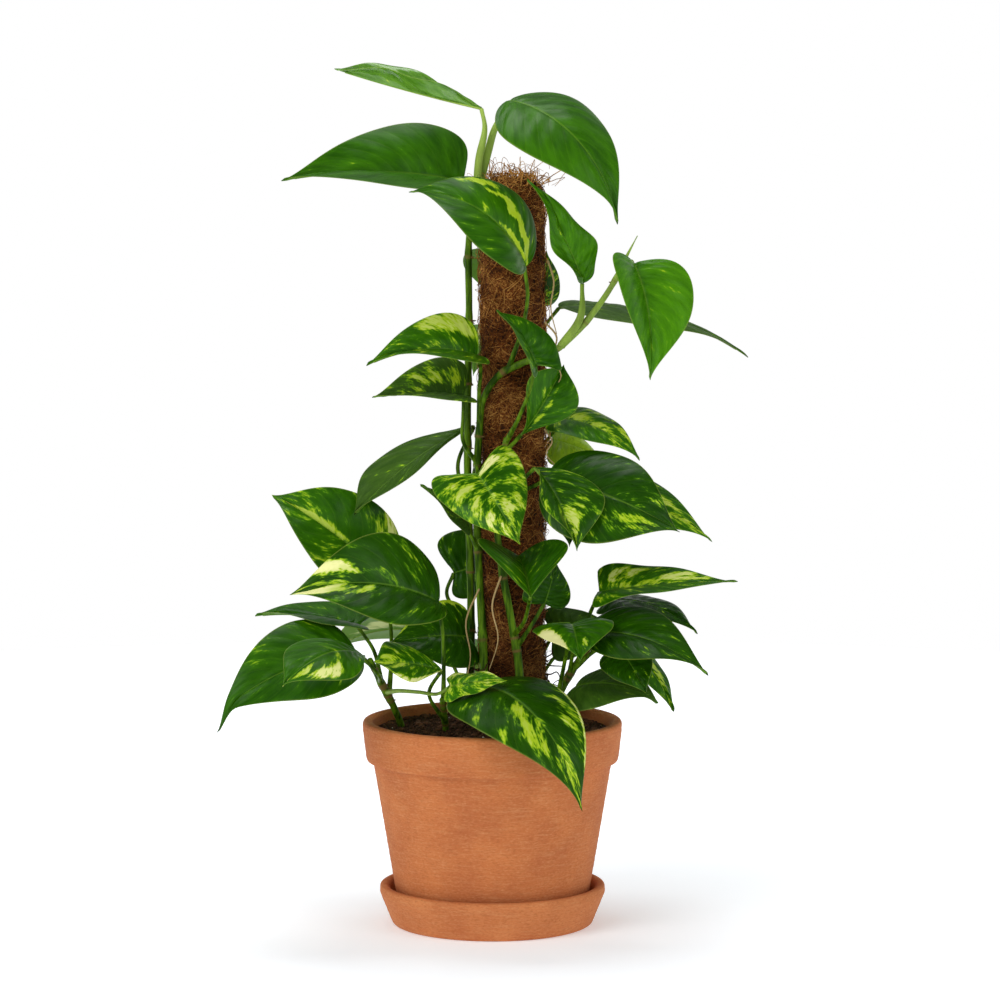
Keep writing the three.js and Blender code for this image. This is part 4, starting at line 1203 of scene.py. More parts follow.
@dataclass
class SoilBed:
    """Potting soil in a low mound, with crumbs, bark chips and perlite on it."""

    pot: Pot
    edge_level: float = 135.5
    mound: float = 3.0

    def surface(self, x: np.ndarray, y: np.ndarray) -> np.ndarray:
        """The height of the soil at a place.

        Args:
            x: distance to the right of the pot's axis.
            y: distance behind it.

        Returns:
            The height above the ground.
        """
        share = np.clip(np.hypot(x, y) / self.pot.inner_radius(self.edge_level), 0, 1)
        crumbs = (0.5 * np.sin(0.31 * x + 1.3) * np.sin(0.27 * y + 0.4)
                  + 0.4 * np.sin(0.83 * x + 0.5 * y) * np.sin(0.77 * y - 0.3 * x + 2)
                  + 0.25 * np.sin(1.9 * x + 1) * np.sin(2.1 * y + 2))
        return self.edge_level + self.mound * (1 - share**2) + 0.9 * crumbs * (1 - share**8)

    def build(self) -> list[bpy.types.Object]:
        """Makes the bed and what lies on it.

        Returns:
            The bed and its loose bits.
        """
        rng = np.random.default_rng(31)
        floor = self.pot.seat + self.pot.floor + 4
        edge = self.pot.inner_radius(self.edge_level) - 0.4
        turn = np.linspace(0, 2 * math.pi, 150, endpoint=False)
        radii = np.concatenate([[0.3], np.linspace(2, edge, 60)])
        rings = [np.stack([r * np.cos(turn), r * np.sin(turn),
                           self.surface(r * np.cos(turn), r * np.sin(turn))], -1) for r in radii]
        low = self.pot.inner_radius(floor) - 0.4
        for r in (low, 0.3):
            rings.append(np.stack([r * np.cos(turn), r * np.sin(turn), 0 * turn + floor], -1))
        number = np.arange(len(rings) * len(turn)).reshape(len(rings), len(turn))
        after = np.roll(number, -1, 1)
        faces = np.stack([number[:-1], number[1:], after[1:], after[:-1]], -1).reshape(-1, 4)
        bed = MeshDraft()
        bed.add(np.vstack(rings), [faces, number[:1], number[-1:, ::-1]])
        soil = bed.build("soil_bed", [SOIL_MIX])
        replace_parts(soil, "soil")
        bits = MeshDraft()
        # crumbs, perlite and bark: how many, their half widths and how high they are for that
        kinds = ((3400, (0.5, 1.7), 0.8), (26, (0.5, 1.2), 0.9), (190, (1.3, 4.2), 0.45))
        for slot, (count, sizes, flat) in enumerate(kinds):
            self.scatter(bits, rng, count, sizes, flat, slot)
        loose = bits.build("soil_crumbs", [SOIL_MIX, PERLITE, PINE_BARK], smooth=False)
        return [soil, loose]

    def scatter(self, draft: MeshDraft, rng: np.random.Generator, count: int, sizes: tuple[float, float],
                flat: float, slot: int) -> None:
        """Lays irregular grains on the soil.

        Args:
            draft: the piece.
            rng: seeded random numbers.
            count: how many grains.
            sizes: the smallest and largest half width in mm.
            flat: how high a grain is for its width.
            slot: the material slot of the grains.
        """
        edge = self.pot.inner_radius(self.edge_level) - 1 - sizes[1]
        turn, out = rng.uniform(0, 2 * math.pi, count), edge * np.sqrt(rng.uniform(0, 1, count))
        x, y = out * np.cos(turn), out * np.sin(turn)
        clear = np.hypot(x - COIR_POLE.x, y - COIR_POLE.y) > COIR_POLE.radius + 1
        x, y, count = x[clear], y[clear], int(clear.sum())
        size = rng.uniform(*sizes, count)
        shape = ICOSAHEDRON * rng.uniform(0.72, 1.2, (count, 12, 1)) * (1, 0.72, flat)
        spin = rng.uniform(0, 2 * math.pi, count)
        cos, sin = np.cos(spin)[:, None], np.sin(spin)[:, None]
        wide, deep, high = shape[..., 0], shape[..., 1], shape[..., 2]
        turned = np.stack([wide * cos - deep * sin, wide * sin + deep * cos, high], -1)
        centre = np.stack([x, y, self.surface(x, y) + size * flat * 0.3], -1)
        points = centre[:, None] + turned * size[:, None, None]
        faces = ICOSAHEDRON_FACES[None] + np.arange(count)[:, None, None] * 12
        draft.add(points.reshape(-1, 3), [faces.reshape(-1, 3)], slot)


@dataclass
class CoirPole:
    """A stake in a sleeve of matted coconut fibre, with loose strands and a frayed top."""

    x: float = 14
    y: float = 5
    radius: float = 22.5
    top_radius: float = 20
    bottom: float = 60
    top: float = 518
    dome: float = 12  # height of the rounded top
    mean: float = 21  # radius for the way that a strand makes round the mat
    strands: int = 4500
    frays: int = 190

    def wall(self, height: np.ndarray) -> np.ndarray:
        """The sleeve's radius, domed at its top.

        Args:
            height: the height above the ground.

        Returns:
            The radius there.
        """
        share = np.clip((height - self.bottom) / (self.top - 8 - self.bottom), 0, 1)
        side = self.radius + (self.top_radius + 1.5 - self.radius) * share**4
        over = np.clip((height - self.top + self.dome) / self.dome, 0, 1)
        return side * (1 - 0.4 * over**2) - 0.6

    def patch(self, height: np.ndarray, angle: np.ndarray) -> np.ndarray:
        """How thick and light the mat is, in patches 20 to 50 mm wide.

        Args:
            height: the height above the ground.
            angle: the way round the pole.

        Returns:
            From -1, thin and dark, to 1, thick and light.
        """
        return (0.4 * np.sin(height / 13 + 1.7 * np.sin(angle + 1))
                + 0.35 * np.sin(height / 6.1 - 2 * angle + 1.7)
                + 0.25 * np.sin(height / 3.7 + 3 * angle))

    def sleeve(self) -> bpy.types.Object:
        """Makes the lumpy mat.

        Returns:
            The sleeve.
        """
        heights = np.linspace(self.bottom, self.top, 190)
        turn = np.linspace(0, 2 * math.pi, 84, endpoint=False)
        z, a = np.meshgrid(heights, turn, indexing="ij")
        lumps = (0.55 * np.sin(3 * a + z / 9) * np.sin(z / 5.3 + 2 * a)
                 + 0.45 * np.sin(7 * a - z / 4.1)
                 + 0.35 * np.sin(13 * a + z / 2.3) * np.sin(z / 3.1 - 5 * a)
                 + 0.25 * np.sin(23 * a - z / 1.9))
        patch = self.patch(z, a)
        out = self.wall(z) + 0.75 * lumps + 0.9 * patch
        skin = np.stack([self.x + out * np.cos(a), self.y + out * np.sin(a), z], -1)
        number = np.arange(z.size).reshape(z.shape)
        after = np.roll(number, -1, 1)
        tip = len(number) * len(turn)
        caps = np.concatenate([np.stack([after[-1], np.full(len(turn), tip), number[-1]], 1),
                               np.stack([number[0], np.full(len(turn), tip + 1), after[0]], 1)])[:, ::-1]
        ends = np.array([[self.x, self.y, self.top - 1.5], [self.x, self.y, self.bottom]])
        draft = MeshDraft()
        tone = np.append((0.26 + 0.12 * lumps + 0.28 * patch).ravel(), [0.2, 0.2])
        draft.add(np.vstack([skin.reshape(-1, 3), ends]), [wall_faces(number), caps], tone=tone)
        piece = draft.build("coir_sleeve", [COIR_MAT])
        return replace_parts(piece, "pole_coir")

    def fibres(self) -> list[bpy.types.Object]:
        """Makes the strands that lie over the mat and those that stand up at its top.

        Returns:
            The strands.
        """
        rng = np.random.default_rng(47)
        count, steps = self.strands, 7
        share = np.linspace(0, 1, steps)[None]
        start = rng.uniform(SOIL_LEVEL, self.top - 2, count)[:, None]
        turn = rng.uniform(0, 2 * math.pi, count)[:, None]
        slope = rng.normal(0, 0.75, count)[:, None]
        length = rng.uniform(9, 40, count)[:, None]
        curve = rng.normal(0, 0.7, count)[:, None]
        crimp = rng.normal(0, 0.18, count)[:, None] * np.sin(9 * share + rng.uniform(0, 6, count)[:, None])
        heading = slope + curve * share + crimp
        z = start + np.cumsum(np.sin(heading) * length / steps, 1)
        z = np.clip(z, SOIL_LEVEL - 2, self.top + 3)
        angle = turn + np.cumsum(np.cos(heading) * length / steps, 1) / self.mean
        lift = rng.uniform(0.1, 1.0, count)[:, None]
        lift = lift + rng.gamma(1.3, 0.75, count)[:, None] * np.sin(math.pi * share)
        patch = self.patch(z, angle)
        out = self.wall(z) + 0.9 * patch + np.minimum(lift, 4.5)
        paths = np.stack([self.x + out * np.cos(angle), self.y + out * np.sin(angle), z], -1)
        thick = rng.uniform(0.12, 0.3, count)[:, None] * (1 - 0.5 * share**3)
        tone = np.clip(rng.normal(0.5, 0.22, count), 0.05, 1.05)[:, None] + 0.3 * patch
        mat = MeshDraft()
        Tubes(paths, thick, 3).add_to(mat, tone=tone)
        cover = mat.build("coir_strands", [COIR_STRAND])
        tuft = MeshDraft()
        paths, thick = self.loops(rng)
        tone = rng.uniform(0.7, 1.4, len(paths))[:, None] * np.ones(thick.shape)
        Tubes(paths, thick, 4).add_to(tuft, tone=tone)
        fray = tuft.build("coir_frayed_top", [COIR_STRAND])
        return [cover, fray]

    def loops(self, rng: np.random.Generator) -> tuple[np.ndarray, np.ndarray]:
        """Paths and radii of the strands that rise from the top and bend over.

        Args:
            rng: seeded random numbers.

        Returns:
            The paths and the radii.
        """
        count, steps = self.frays, 14
        share = np.linspace(0, 1, steps)[None]
        turn = rng.uniform(0, 2 * math.pi, count)[:, None]
        out = self.top_radius * np.sqrt(rng.uniform(0.0, 0.9, count))[:, None]
        rise = np.minimum(rng.gamma(1.6, 3, count), 16)[:, None]
        lean = rng.normal(0, 9, (2, count))
        over = np.sin(math.pi * share * rng.uniform(0.7, 1.1, count)[:, None])
        z = self.top - 6 + (rise + 4) * over
        curl = rng.normal(0, 5, (2, count))
        bow = np.sin(math.pi * share)
        x = self.x + out * np.cos(turn) + lean[0][:, None] * share + curl[0][:, None] * bow
        y = self.y + out * np.sin(turn) + lean[1][:, None] * share + curl[1][:, None] * bow
        paths = np.stack([x, y, z], -1) + rng.normal(0, 0.15, (count, steps, 3))
        thick = rng.uniform(0.2, 0.45, count)[:, None] * (1 - 0.6 * share)
        return paths, thick

    def build(self) -> list[bpy.types.Object]:
        """Makes the pole and gives the stake its wood.

        Returns:
            The sleeve and its strands.
        """
        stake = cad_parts["pole_core"]
        stake.data.materials.clear()
        stake.data.materials.append(PINE_STAKE.material())
        return [self.sleeve(), *self.fibres()]


COIR_POLE = CoirPole()


@dataclass
class AerialRoots:
    """Thin roots that hang from the joints: pale ones in the air, dark dry ones by the soil."""

    routes: tuple[tuple[Point, ...], ...]
    dead: int = 44  # how many dead rootlets hang about the pole's foot

    def tangle(self, rng: np.random.Generator) -> list[np.ndarray]:
        """Paths of the dead rootlets, which leave the mat beside the stems and curl down to the soil.

        Args:
            rng: seeded random numbers.

        Returns:
            One path for each.
        """
        paths = []
        for number in range(self.dead):
            turn = rng.uniform(3.3, 4.1) if number % 2 else rng.uniform(-0.7, 0.5)
            here = np.array([COIR_POLE.x, COIR_POLE.y, rng.uniform(SOIL_LEVEL + 6, SOIL_LEVEL + 50)])
            here[:2] += (COIR_POLE.radius - 1) * np.array([math.cos(turn), math.sin(turn)])
            way = np.array([math.cos(turn), math.sin(turn), rng.uniform(-1.0, 0.4)])
            knots = [tuple(here)]
            for _ in range(5):
                here = here + unit(way) * rng.uniform(3, 6)
                here[2] = max(here[2], SOIL_LEVEL + 1.5)
                knots.append(tuple(here))
                way = unit(way) + rng.normal(0, 0.75, 3) - (0, 0, 0.3)
            paths.append(catmull_rom(knots, 20))
        return paths

    def build(self) -> bpy.types.Object:
        """Makes the roots.

        Returns:
            The roots.
        """
        draft = MeshDraft()
        for route in self.routes:
            path = catmull_rom(route, 30)
            Tubes(path[None], np.linspace(0.75, 0.3, 31)[None], 7).add_to(draft)
        for path in self.tangle(np.random.default_rng(83)):
            Tubes(path[None], np.linspace(0.6, 0.25, 21)[None], 6).add_to(draft, 1)
        piece = draft.build("aerial_roots", [DRY_ROOT, DEAD_ROOT])
        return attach(piece, BODY)


# ---------------------------------------------------------------- the plant's parts

STEMS = {
    stem.name: stem for stem in (
        Stem("stem_main", (3.1, 1.9), ((-6, -16, 92), (-6, -15, 138), (-6, -13, 187), (-9, -8, 244),
             (-11, -4, 300), (-9, -8, 343), (-6, -14, 367), (5, -21, 384), (20, -25, 392), (41, -28, 400),
             (56, -30, 412), (69, -30, 427), (82, -28, 446), (91, -26, 464), (99, -24, 479)), shoot=100),
        Stem("stem_rear", (3, 2.2), ((-18, 22, 92), (-16, 20, 138), (-15, 19, 230), (-17, 14, 307),
             (-17, 10, 363), (-16, 8, 426), (-16, 4, 475), (-12, -5, 502), (-8, -8, 516))),
        Stem("stem_front", (3.3, 2), ((21, -27, 92), (20, -26, 140), (18, -24, 186), (12, -23, 221),
             (6, -22.5, 255), (3, -22, 285), (5, -22.5, 312), (10, -24, 341))),
        Stem("stem_left", (3, 2), ((-60, 8, 92), (-63, 2, 136), (-68, -8, 152), (-77, -20, 172),
             (-84, -32, 189))),
        Stem("stem_right", (3.2, 2.2), ((38, -12, 92), (38, -14, 138), (45, -17, 160), (54, -20, 178),
             (63, -22, 192), (70, -22, 202))),
        Stem("stem_near", (2.5, 1.8), ((-32, -14, 92), (-32, -20, 136), (-33, -34, 152), (-34, -50, 164))),
        Stem("stem_back", (3, 2), ((26, 40, 92), (24, 38, 138), (18, 33, 210), (24, 31, 290),
             (22, 32.5, 360), (26, 31, 430))),
    )
}

LEAVES = (
    # over and beside the top of the pole
    Leaf("leaf_top_furled", "stem_rear", 508, ((-9, -14, 530), (-5, -13, 552)), (-7, -9, 566),
         (-107, -22, 592), (0, -0.15, 1), 36, arch=-0.1, fold=1, lobe=0.1, widest=0.62, wave=2.5,
         tone=LeafTone.YOUNG, crinkle=3, sheath=0.9),
    Leaf("leaf_top_right", "stem_rear", 514, ((-3, -8, 535), (2, -6, 552)), (12, -6, 571), (85, -35, 491),
         (0.45, -0.6, 0.6), 90, arch=1.4, lobe=0.1, widest=0.34, marbled=-0.3, sheath=0.9, drip=4),
    Leaf("leaf_top_left", "stem_rear", 492, ((-19, 0, 504),), (-20, 5, 515), (-144, -15, 516),
         (0, -0.57, 0.82), 86, arch=0.5, fold=0.6, lobe=0.5, marbled=-0.1),
    Leaf("leaf_top_front", "stem_main", 388, ((20, -36, 415), (24, -46, 438)), (23, -50, 459),
         (-56, -49, 509), (0.55, -0.55, 0.62), 76, arch=1.55, fold=0.3, lobe=0.3, widest=0.42, marbled=0.02,
         patches=((-0.22, 0.12, 0.11, 0.13, 0.8, 0), (-0.34, 0.26, 0.1, 0.13, 0.8, 0),
         (-0.44, 0.4, 0.09, 0.12, 0.75, 0), (-0.6, 0.52, 0.1, 0.1, 0.66, 0),
         (-0.85, 0.62, 0.12, 0.12, 0.6, 0), (-0.05, 0.3, 0.045, 0.24, 0.74, 0)), slot="leaf_variegated"),
    Leaf("leaf_top_twist", "stem_main", 404, ((60, -34, 424),), (62, -36, 447), (24, -28, 518),
         (0.6, -0.75, 0.25), 32, arch=0.5, fold=0.6, lobe=0.2, wave=6, tone=LeafTone.FRESH, crinkle=2.5,
         sheath=0.9),
    Leaf("leaf_right_hang", "stem_main", 450, ((94, -36, 462),), (96, -42, 461), (106, -77, 384),
         (0.55, -0.7, 0.35), 72, arch=0.7, fold=0.6, lobe=0.3, tone=LeafTone.FRESH),
    Leaf("leaf_back_top", "stem_back", 414, ((28, 40, 420),), (31, 44, 429), (38, 54, 466),
         (0.5, -0.8, 0.1), 34, arch=0.7, lobe=0.2, tone=LeafTone.DEEP_AND_SHADE, marbled=0.2,
         patches=((0.5, 0.5, 0.3, 0.3, 0.45, 0),)),
    Leaf("leaf_back_long", "stem_back", 396, ((36, 34, 414),), (46, 33, 428), (180, 60, 391), (0, -0.14, 1),
         68, arch=0.7, lobe=0.1, tone=LeafTone.GREY_SHEEN),
    # beside and before the upper half of the pole
    Leaf("leaf_left_upper", "stem_main", 343, ((-9, -18, 372), (-8, -28, 390)), (-10, -36, 398),
         (-85, -52, 392), (-0.1, -0.54, 0.84), 64, arch=0.95, fold=0.6, lobe=0.35, widest=0.26,
         marbled=0.14, patches=((-0.75, 0.3, 0.4, 0.3, 0.62, 0.25), (0.3, 0.75, 0.3, 0.2, 0.4, 0)),
         slot="leaf_variegated"),
    Leaf("leaf_left_lower", "stem_main", 322, ((-20, -14, 338), (-20, -15, 354)), (-19, -16, 368),
         (-82, -30, 369), (-0.1, -0.54, 0.84), 60, arch=0.5, fold=0.7, lobe=0.5, widest=0.26,
         tone=LeafTone.GREY_SHEEN, marbled=0.16, patches=((-0.55, 0.5, 0.35, 0.2, 0.5, 0.2),
         (-0.5, 0.25, 0.3, 0.1, 0.45, 0)), slot="leaf_variegated"),
    Leaf("leaf_left_dark", "stem_rear", 290, ((-24, 26, 318),), (-13, 23, 346), (-95, -14, 287),
         (-0.35, -0.5, 0.8), 44, arch=0.5, fold=0.2, lobe=0, widest=0.6, lean=-0.45, tone=LeafTone.GREY_SHEEN),
    Leaf("leaf_over_pole", "stem_front", 338, ((18, -44, 356), (26, -60, 378)), (30, -62, 393),
         (3, -50, 430), (0.75, -0.5, 0.43), 44, fold=0.5, curl=0.3, lobe=1.1, widest=0.3),
    Leaf("leaf_mid_round", "stem_front", 330, (), (20, -30, 343), (49, -22, 391), (0.36, -0.89, 0), 44,
         fold=0.6, lobe=0, widest=0.6, marbled=0.04, patches=((-0.2, 0.4, 0.1, 0.4, 0.42, 0),)),
    Leaf("leaf_right_arch", "stem_back", 320, ((42, 18, 341),), (45, 2, 352), (101, -20, 325),
         (0.2, -0.4, 0.9), 54, arch=1, fold=0.2, lobe=0.4, marbled=0.16,
         patches=((0.15, 0.55, 0.2, 0.4, 0.5, 0.1), (0.8, 0.6, 0.2, 0.35, 0.45, 0.1)),
         slot="leaf_variegated"),
    Leaf("leaf_right_under", "stem_back", 300, ((36, 28, 326),), (42, 25, 336), (80, 34, 317),
         (0, -0.45, 0.9), 54, tone=LeafTone.LIME, marbled=0.2, cream=0),
    Leaf("leaf_heart", "stem_main", 290, ((-13, -22, 310), (-11, -44, 323)), (-10, -55, 319),
         (19, -85, 274), (-0.05, -0.85, 0.5), 63, arch=0.5, lobe=1.5, marbled=0.28,
         patches=((0.35, 0.16, 0.4, 0.1, 0.85, 0.9), (0.9, 0.35, 0.12, 0.3, 0.45, 0.3),
         (-0.5, 0.45, 0.4, 0.3, 0.45, 0.3), (-0.6, 0.75, 0.4, 0.15, 0.6, 0.7),
         (0.3, 0.7, 0.3, 0.15, 0.5, 0.4)), slot="leaf_variegated"),
    Leaf("leaf_heart_behind", "stem_main", 262, ((-16, -14, 276),), (-16, -26, 282), (-49, -35, 310),
         (0.5, -0.4, 0.75), 26, arch=0.4, tone=LeafTone.GREY_SHEEN),
    Leaf("leaf_right_big", "stem_front", 300, ((22, -32, 306),), (36, -42, 314), (127, -62, 280),
         (0.2, -0.82, 0.55), 79, arch=0.8, lobe=0.3, widest=0.42, tone=LeafTone.DEEP_AND_SHADE, marbled=0.05,
         patches=((-0.6, 0.75, 0.3, 0.14, 0.4, 0.1),), slot="leaf_variegated"),
    Leaf("leaf_right_striped", "stem_front", 286, ((13, -43, 304), (24, -54, 318)), (29, -60, 324),
         (57, -88, 270), (0.51, -0.69, 0.5), 56, arch=0.7, fold=0.6, lobe=-0.1, widest=0.5, lean=0.2,
         tone=LeafTone.DEEP_AND_SHADE, marbled=0.12, patches=((0.2, 0.78, 0.3, 0.14, 0.62, 0.35),
         (-0.85, 0.4, 0.12, 0.2, 0.5, 0.1)), slot="leaf_variegated"),
    Leaf("leaf_right_outer", "stem_back", 280, ((40, 14, 296), (54, 8, 303)), (68, 2, 306), (151, -20, 269),
         (0.25, -0.6, 0.8), 58, arch=0.7, lobe=0.5, marbled=0.2, patches=((0.4, 0.5, 0.3, 0.3, 0.55, 0.3),
         (-0.3, 0.9, 0.7, 0.15, 0.55, 0.2)), slot="leaf_variegated"),
    # low at the left
    Leaf("leaf_low_left_upper", "stem_left", 160, ((-70, 4, 190), (-72, 10, 220)), (-75, 8, 238),
         (-152, -6, 300), (0.43, -0.82, 0.39), 70, arch=0.9, fold=0.5, lobe=0.6, widest=0.5, wave=2.5,
         marbled=0.14, patches=((-0.8, 0.32, 0.35, 0.2, 0.62, 0.6), (-0.5, 0.3, 0.3, 0.16, 0.5, 0.2),
         (-0.06, 0.78, 0.1, 0.3, 0.72, 0.15)), slot="leaf_variegated"),
    # its deep tone is painted shade from the leaves over it
    Leaf("leaf_low_left_big", "stem_near", 158, ((-33, -52, 190), (-34, -57, 215)), (-36, -60, 232),
         (-136, -85, 240), (0, -0.5, 0.87), 82, arch=1, fold=0.45, twist=-0.8, lobe=0.25,
         tone=LeafTone.DEEP_AND_SHADE, marbled=0.06, patches=((-0.75, 0.74, 0.4, 0.06, 0.88, 0.95),
         (-0.42, 0.68, 0.25, 0.035, 0.75, 0.5), (0.5, 0.86, 0.6, 0.09, 0.9, 0.9),
         (0.3, 0.7, 0.3, 0.12, 0.45, 0.2), (-0.35, 0.84, 0.5, 0.12, 0.4, 0.15)), slot="leaf_variegated"),
    Leaf("leaf_low_left_thin", "stem_left", 170, ((-82, -8, 192),), (-92, -8, 209), (-164, -8, 216),
         (0.2, -0.15, 0.97), 56, arch=0.5, fold=0.4),
    Leaf("leaf_low_left_out", "stem_left", 184, (), (-93, -36, 194), (-187, -62, 155), (-0.2, -0.6, 0.78),
         74, arch=0.9, fold=0.35, twist=-0.4, lobe=0.2, drip=12),
    Leaf("leaf_low_left_curl", "stem_left", 172, ((-78, -52, 182),), (-86, -64, 195), (-139, -120, 183),
         (-0.15, -0.6, 0.78), 58, arch=1.4, lobe=0, widest=0.55, marbled=0.04,
         patches=((0.72, 0.7, 0.25, 0.16, 0.7, 0.7), (0.45, 0.86, 0.35, 0.07, 0.55, 0.3),
         (0, 1, 0.9, 0.05, 0.8, 0.7)), slot="leaf_variegated"),
    # its deep tone is painted shade from the big leaf over it
    Leaf("leaf_low_left_dark", "stem_rear", 170, ((-18, 12, 190),), (-16, 6, 200), (-72, -8, 197),
         (0, -0.75, 0.65), 58, fold=0.3, lobe=0.6, tone=LeafTone.DEEP_AND_SHADE,
         patches=((-0.97, 0.5, 0.12, 0.5, 0.6, 0),)),
    Leaf("leaf_low_left_near", "stem_near", 146, ((-43, -50, 168),), (-34, -70, 187), (-79, -92, 196),
         (-0.1, -0.6, 0.8), 44, arch=0.4, fold=0.25, lobe=0.4, widest=0.66, marbled=0.2,
         patches=((0, 0.85, 0.7, 0.2, 0.5, 0.1), (0.95, 0.5, 0.12, 0.5, 0.7, 0.8)), slot="leaf_variegated"),
    # at the front, over the rim
    Leaf("leaf_front_strip", "stem_left", 164, ((-64, -36, 168), (-50, -56, 170), (-37, -71, 171)),
         (-29, -80, 178), (10, -86, 182), (0, -0.5, 0.85), 30, arch=0.4, wave=2, tone=LeafTone.FRESH,
         marbled=0.34, patches=((0.9, 0.5, 0.2, 0.5, 0.6, 0.6),), slot="leaf_variegated"),
    Leaf("leaf_front_big", "stem_near", 163, (), (-8, -66, 176), (60, -125, 100), (0.5, -0.75, 0.45), 86,
         arch=1.6, lobe=0.4, tone=LeafTone.DEEP_AND_SHADE, marbled=0.03, patches=((-0.35, 0.62, 0.4, 0.22, 0.34, 0.1),
         (0, 0.86, 0.8, 0.13, 0.4, 0.2), (-0.7, 0.42, 0.25, 0.2, 0.3, 0.1),
         (0.7, 0.55, 0.22, 0.12, 0.4, 0.3), (0.97, 0.55, 0.04, 0.3, 0.7, 0.7)), slot="leaf_variegated"),
    # low at the right
    Leaf("leaf_low_right_dull", "stem_right", 150, ((52, -22, 160),), (57, -28, 170), (113, -60, 166),
         (0.1, -0.5, 0.85), 64, arch=0.8, lobe=0.4, tone=LeafTone.GREY_SHEEN, drip=3),
    Leaf("leaf_low_right_tip", "stem_right", 191, ((80, -10, 198),), (93, 1, 196), (125, -26, 152),
         (0.6, -0.5, 0.6), 36, marbled=0.2, patches=((0.3, 0.6, 0.3, 0.3, 0.5, 0.2),),
         slot="leaf_variegated"),
    Leaf("leaf_low_right_dark", "stem_right", 180, ((74, -34, 197),), (88, -46, 198), (105, -64, 170),
         (0, -0.8, 0.5), 38, arch=0.5, tone=LeafTone.DEEP_AND_SHADE),
    Leaf("leaf_low_right_wide", "stem_right", 176, ((56, -30, 196),), (60, -40, 207), (146, -75, 184),
         (0.1, -0.5, 0.86), 66, arch=1.15, fold=0.3, lobe=-0.2, tone=LeafTone.DEEP_AND_SHADE),
    Leaf("leaf_low_right_front", "stem_right", 160, ((50, -36, 190),), (54, -56, 217), (59, -104, 197),
         (0, -0.7, 0.7), 56, arch=0.8, fold=0.2, patches=((-0.88, 0.62, 0.34, 0.2, 0.95, 1),
         (0.55, 0.75, 0.25, 0.1, 0.45, 0.2)), slot="leaf_variegated"),
    Leaf("leaf_low_right_mid", "stem_right", 195, ((80, -8, 214),), (84, 2, 226), (141, -26, 206),
         (0.2, -0.3, 0.93), 46, arch=0.9, tone=LeafTone.DEEP_AND_SHADE),
    Leaf("leaf_low_right_top", "stem_right", 196, ((66, -18, 214),), (73, -32, 236), (167, -50, 245),
         (-0.1, -0.42, 0.9), 50, arch=0.2, fold=0.4, lobe=0.5, widest=0.22, wave=3, marbled=0.16,
         patches=((0.55, 0.3, 0.35, 0.12, 0.62, 0.5), (0.6, 0.7, 0.4, 0.15, 0.6, 0.45),
         (0.1, 0.5, 0.15, 0.3, 0.4, 0.1)), slot="leaf_variegated"),
    # in the middle, and between the others
    Leaf("leaf_centre_front", "stem_front", 205, ((22, -50, 218),), (26, -72, 237), (18, -32, 261),
         (0.15, -0.55, 0.83), 80, arch=0.5, fold=0.85, curl=0.35, lobe=0, widest=0.5, lean=0.18,
         marbled=0.06),
    Leaf("leaf_centre_dark", "stem_front", 196, ((28, -29, 214),), (36, -29, 227), (44, -31, 257),
         (0.3, -0.9, 0.3), 34, arch=0.5, tone=LeafTone.DEEP_AND_SHADE),
    Leaf("leaf_behind_left", "stem_rear", 205, ((-32, 36, 226),), (-27, 37, 241), (31, 60, 254),
         (0, -1, 0.3), 50, arch=0.4, widest=0.36, lean=0.18, tone=LeafTone.DEEP_AND_SHADE),
    Leaf("leaf_behind_grey", "stem_back", 160, ((36, 30, 186),), (42, 22, 200), (84, 30, 204),
         (0, -0.8, 0.6), 44, arch=0.5, tone=LeafTone.GREY_SHEEN),
    Leaf("leaf_behind_right", "stem_back", 290, ((42, 36, 304),), (50, 33, 309), (54, 30, 260),
         (0.3, -0.95, 0.1), 40, arch=0.4, tone=LeafTone.DEEP_AND_SHADE),
    # behind
    Leaf("leaf_rear_low_left", "stem_rear", 150, ((-30, 40, 180),), (-42, 52, 196), (-120, 92, 176),
         (-0.2, 0.5, 0.85), 72, arch=0.9, fold=0.2, marbled=0.25,
         patches=((0.3, 0.5, 0.3, 0.3, 0.55, 0.5),), slot="leaf_variegated"),
    Leaf("leaf_rear_low_mid", "stem_back", 145, ((20, 56, 170),), (8, 70, 186), (-12, 146, 142),
         (0, 0.5, 0.87), 72, arch=1.1, fold=0.2, lobe=0.3),
    Leaf("leaf_rear_low_right", "stem_back", 150, ((44, 48, 180),), (58, 54, 194), (126, 90, 182),
         (0.1, 0.45, 0.9), 66, arch=0.9, fold=0.2, lobe=0.4, tone=LeafTone.DEEP_AND_SHADE),
    Leaf("leaf_rear_mid_low", "stem_back", 240, ((12, 46, 280),), (8, 58, 300), (2, 124, 262),
         (-0.2, 0.6, 0.77), 56, arch=0.9, fold=0.2, tone=LeafTone.FRESH),
    Leaf("leaf_rear_mid", "stem_back", 300, ((32, 50, 332),), (36, 60, 352), (54, 130, 316),
         (0.2, 0.6, 0.8), 68, arch=1, fold=0.2, marbled=0.22, patches=((-0.4, 0.4, 0.3, 0.2, 0.7, 0.6),),
         slot="leaf_variegated"),
    Leaf("leaf_rear_high", "stem_back", 380, ((18, 48, 400),), (10, 58, 412), (-14, 118, 374),
         (-0.2, 0.7, 0.7), 66, arch=1, fold=0.2, lobe=0.4, tone=LeafTone.FRESH, marbled=0.25,
         patches=((0.4, 0.6, 0.3, 0.2, 0.65, 0.6),), slot="leaf_variegated"),
    Leaf("leaf_rear_top", "stem_back", 426, ((14, 42, 446),), (6, 54, 466), (6, 102, 420), (0, 0.8, 0.6),
         54, arch=0.9, fold=0.2, lobe=0.4),
)

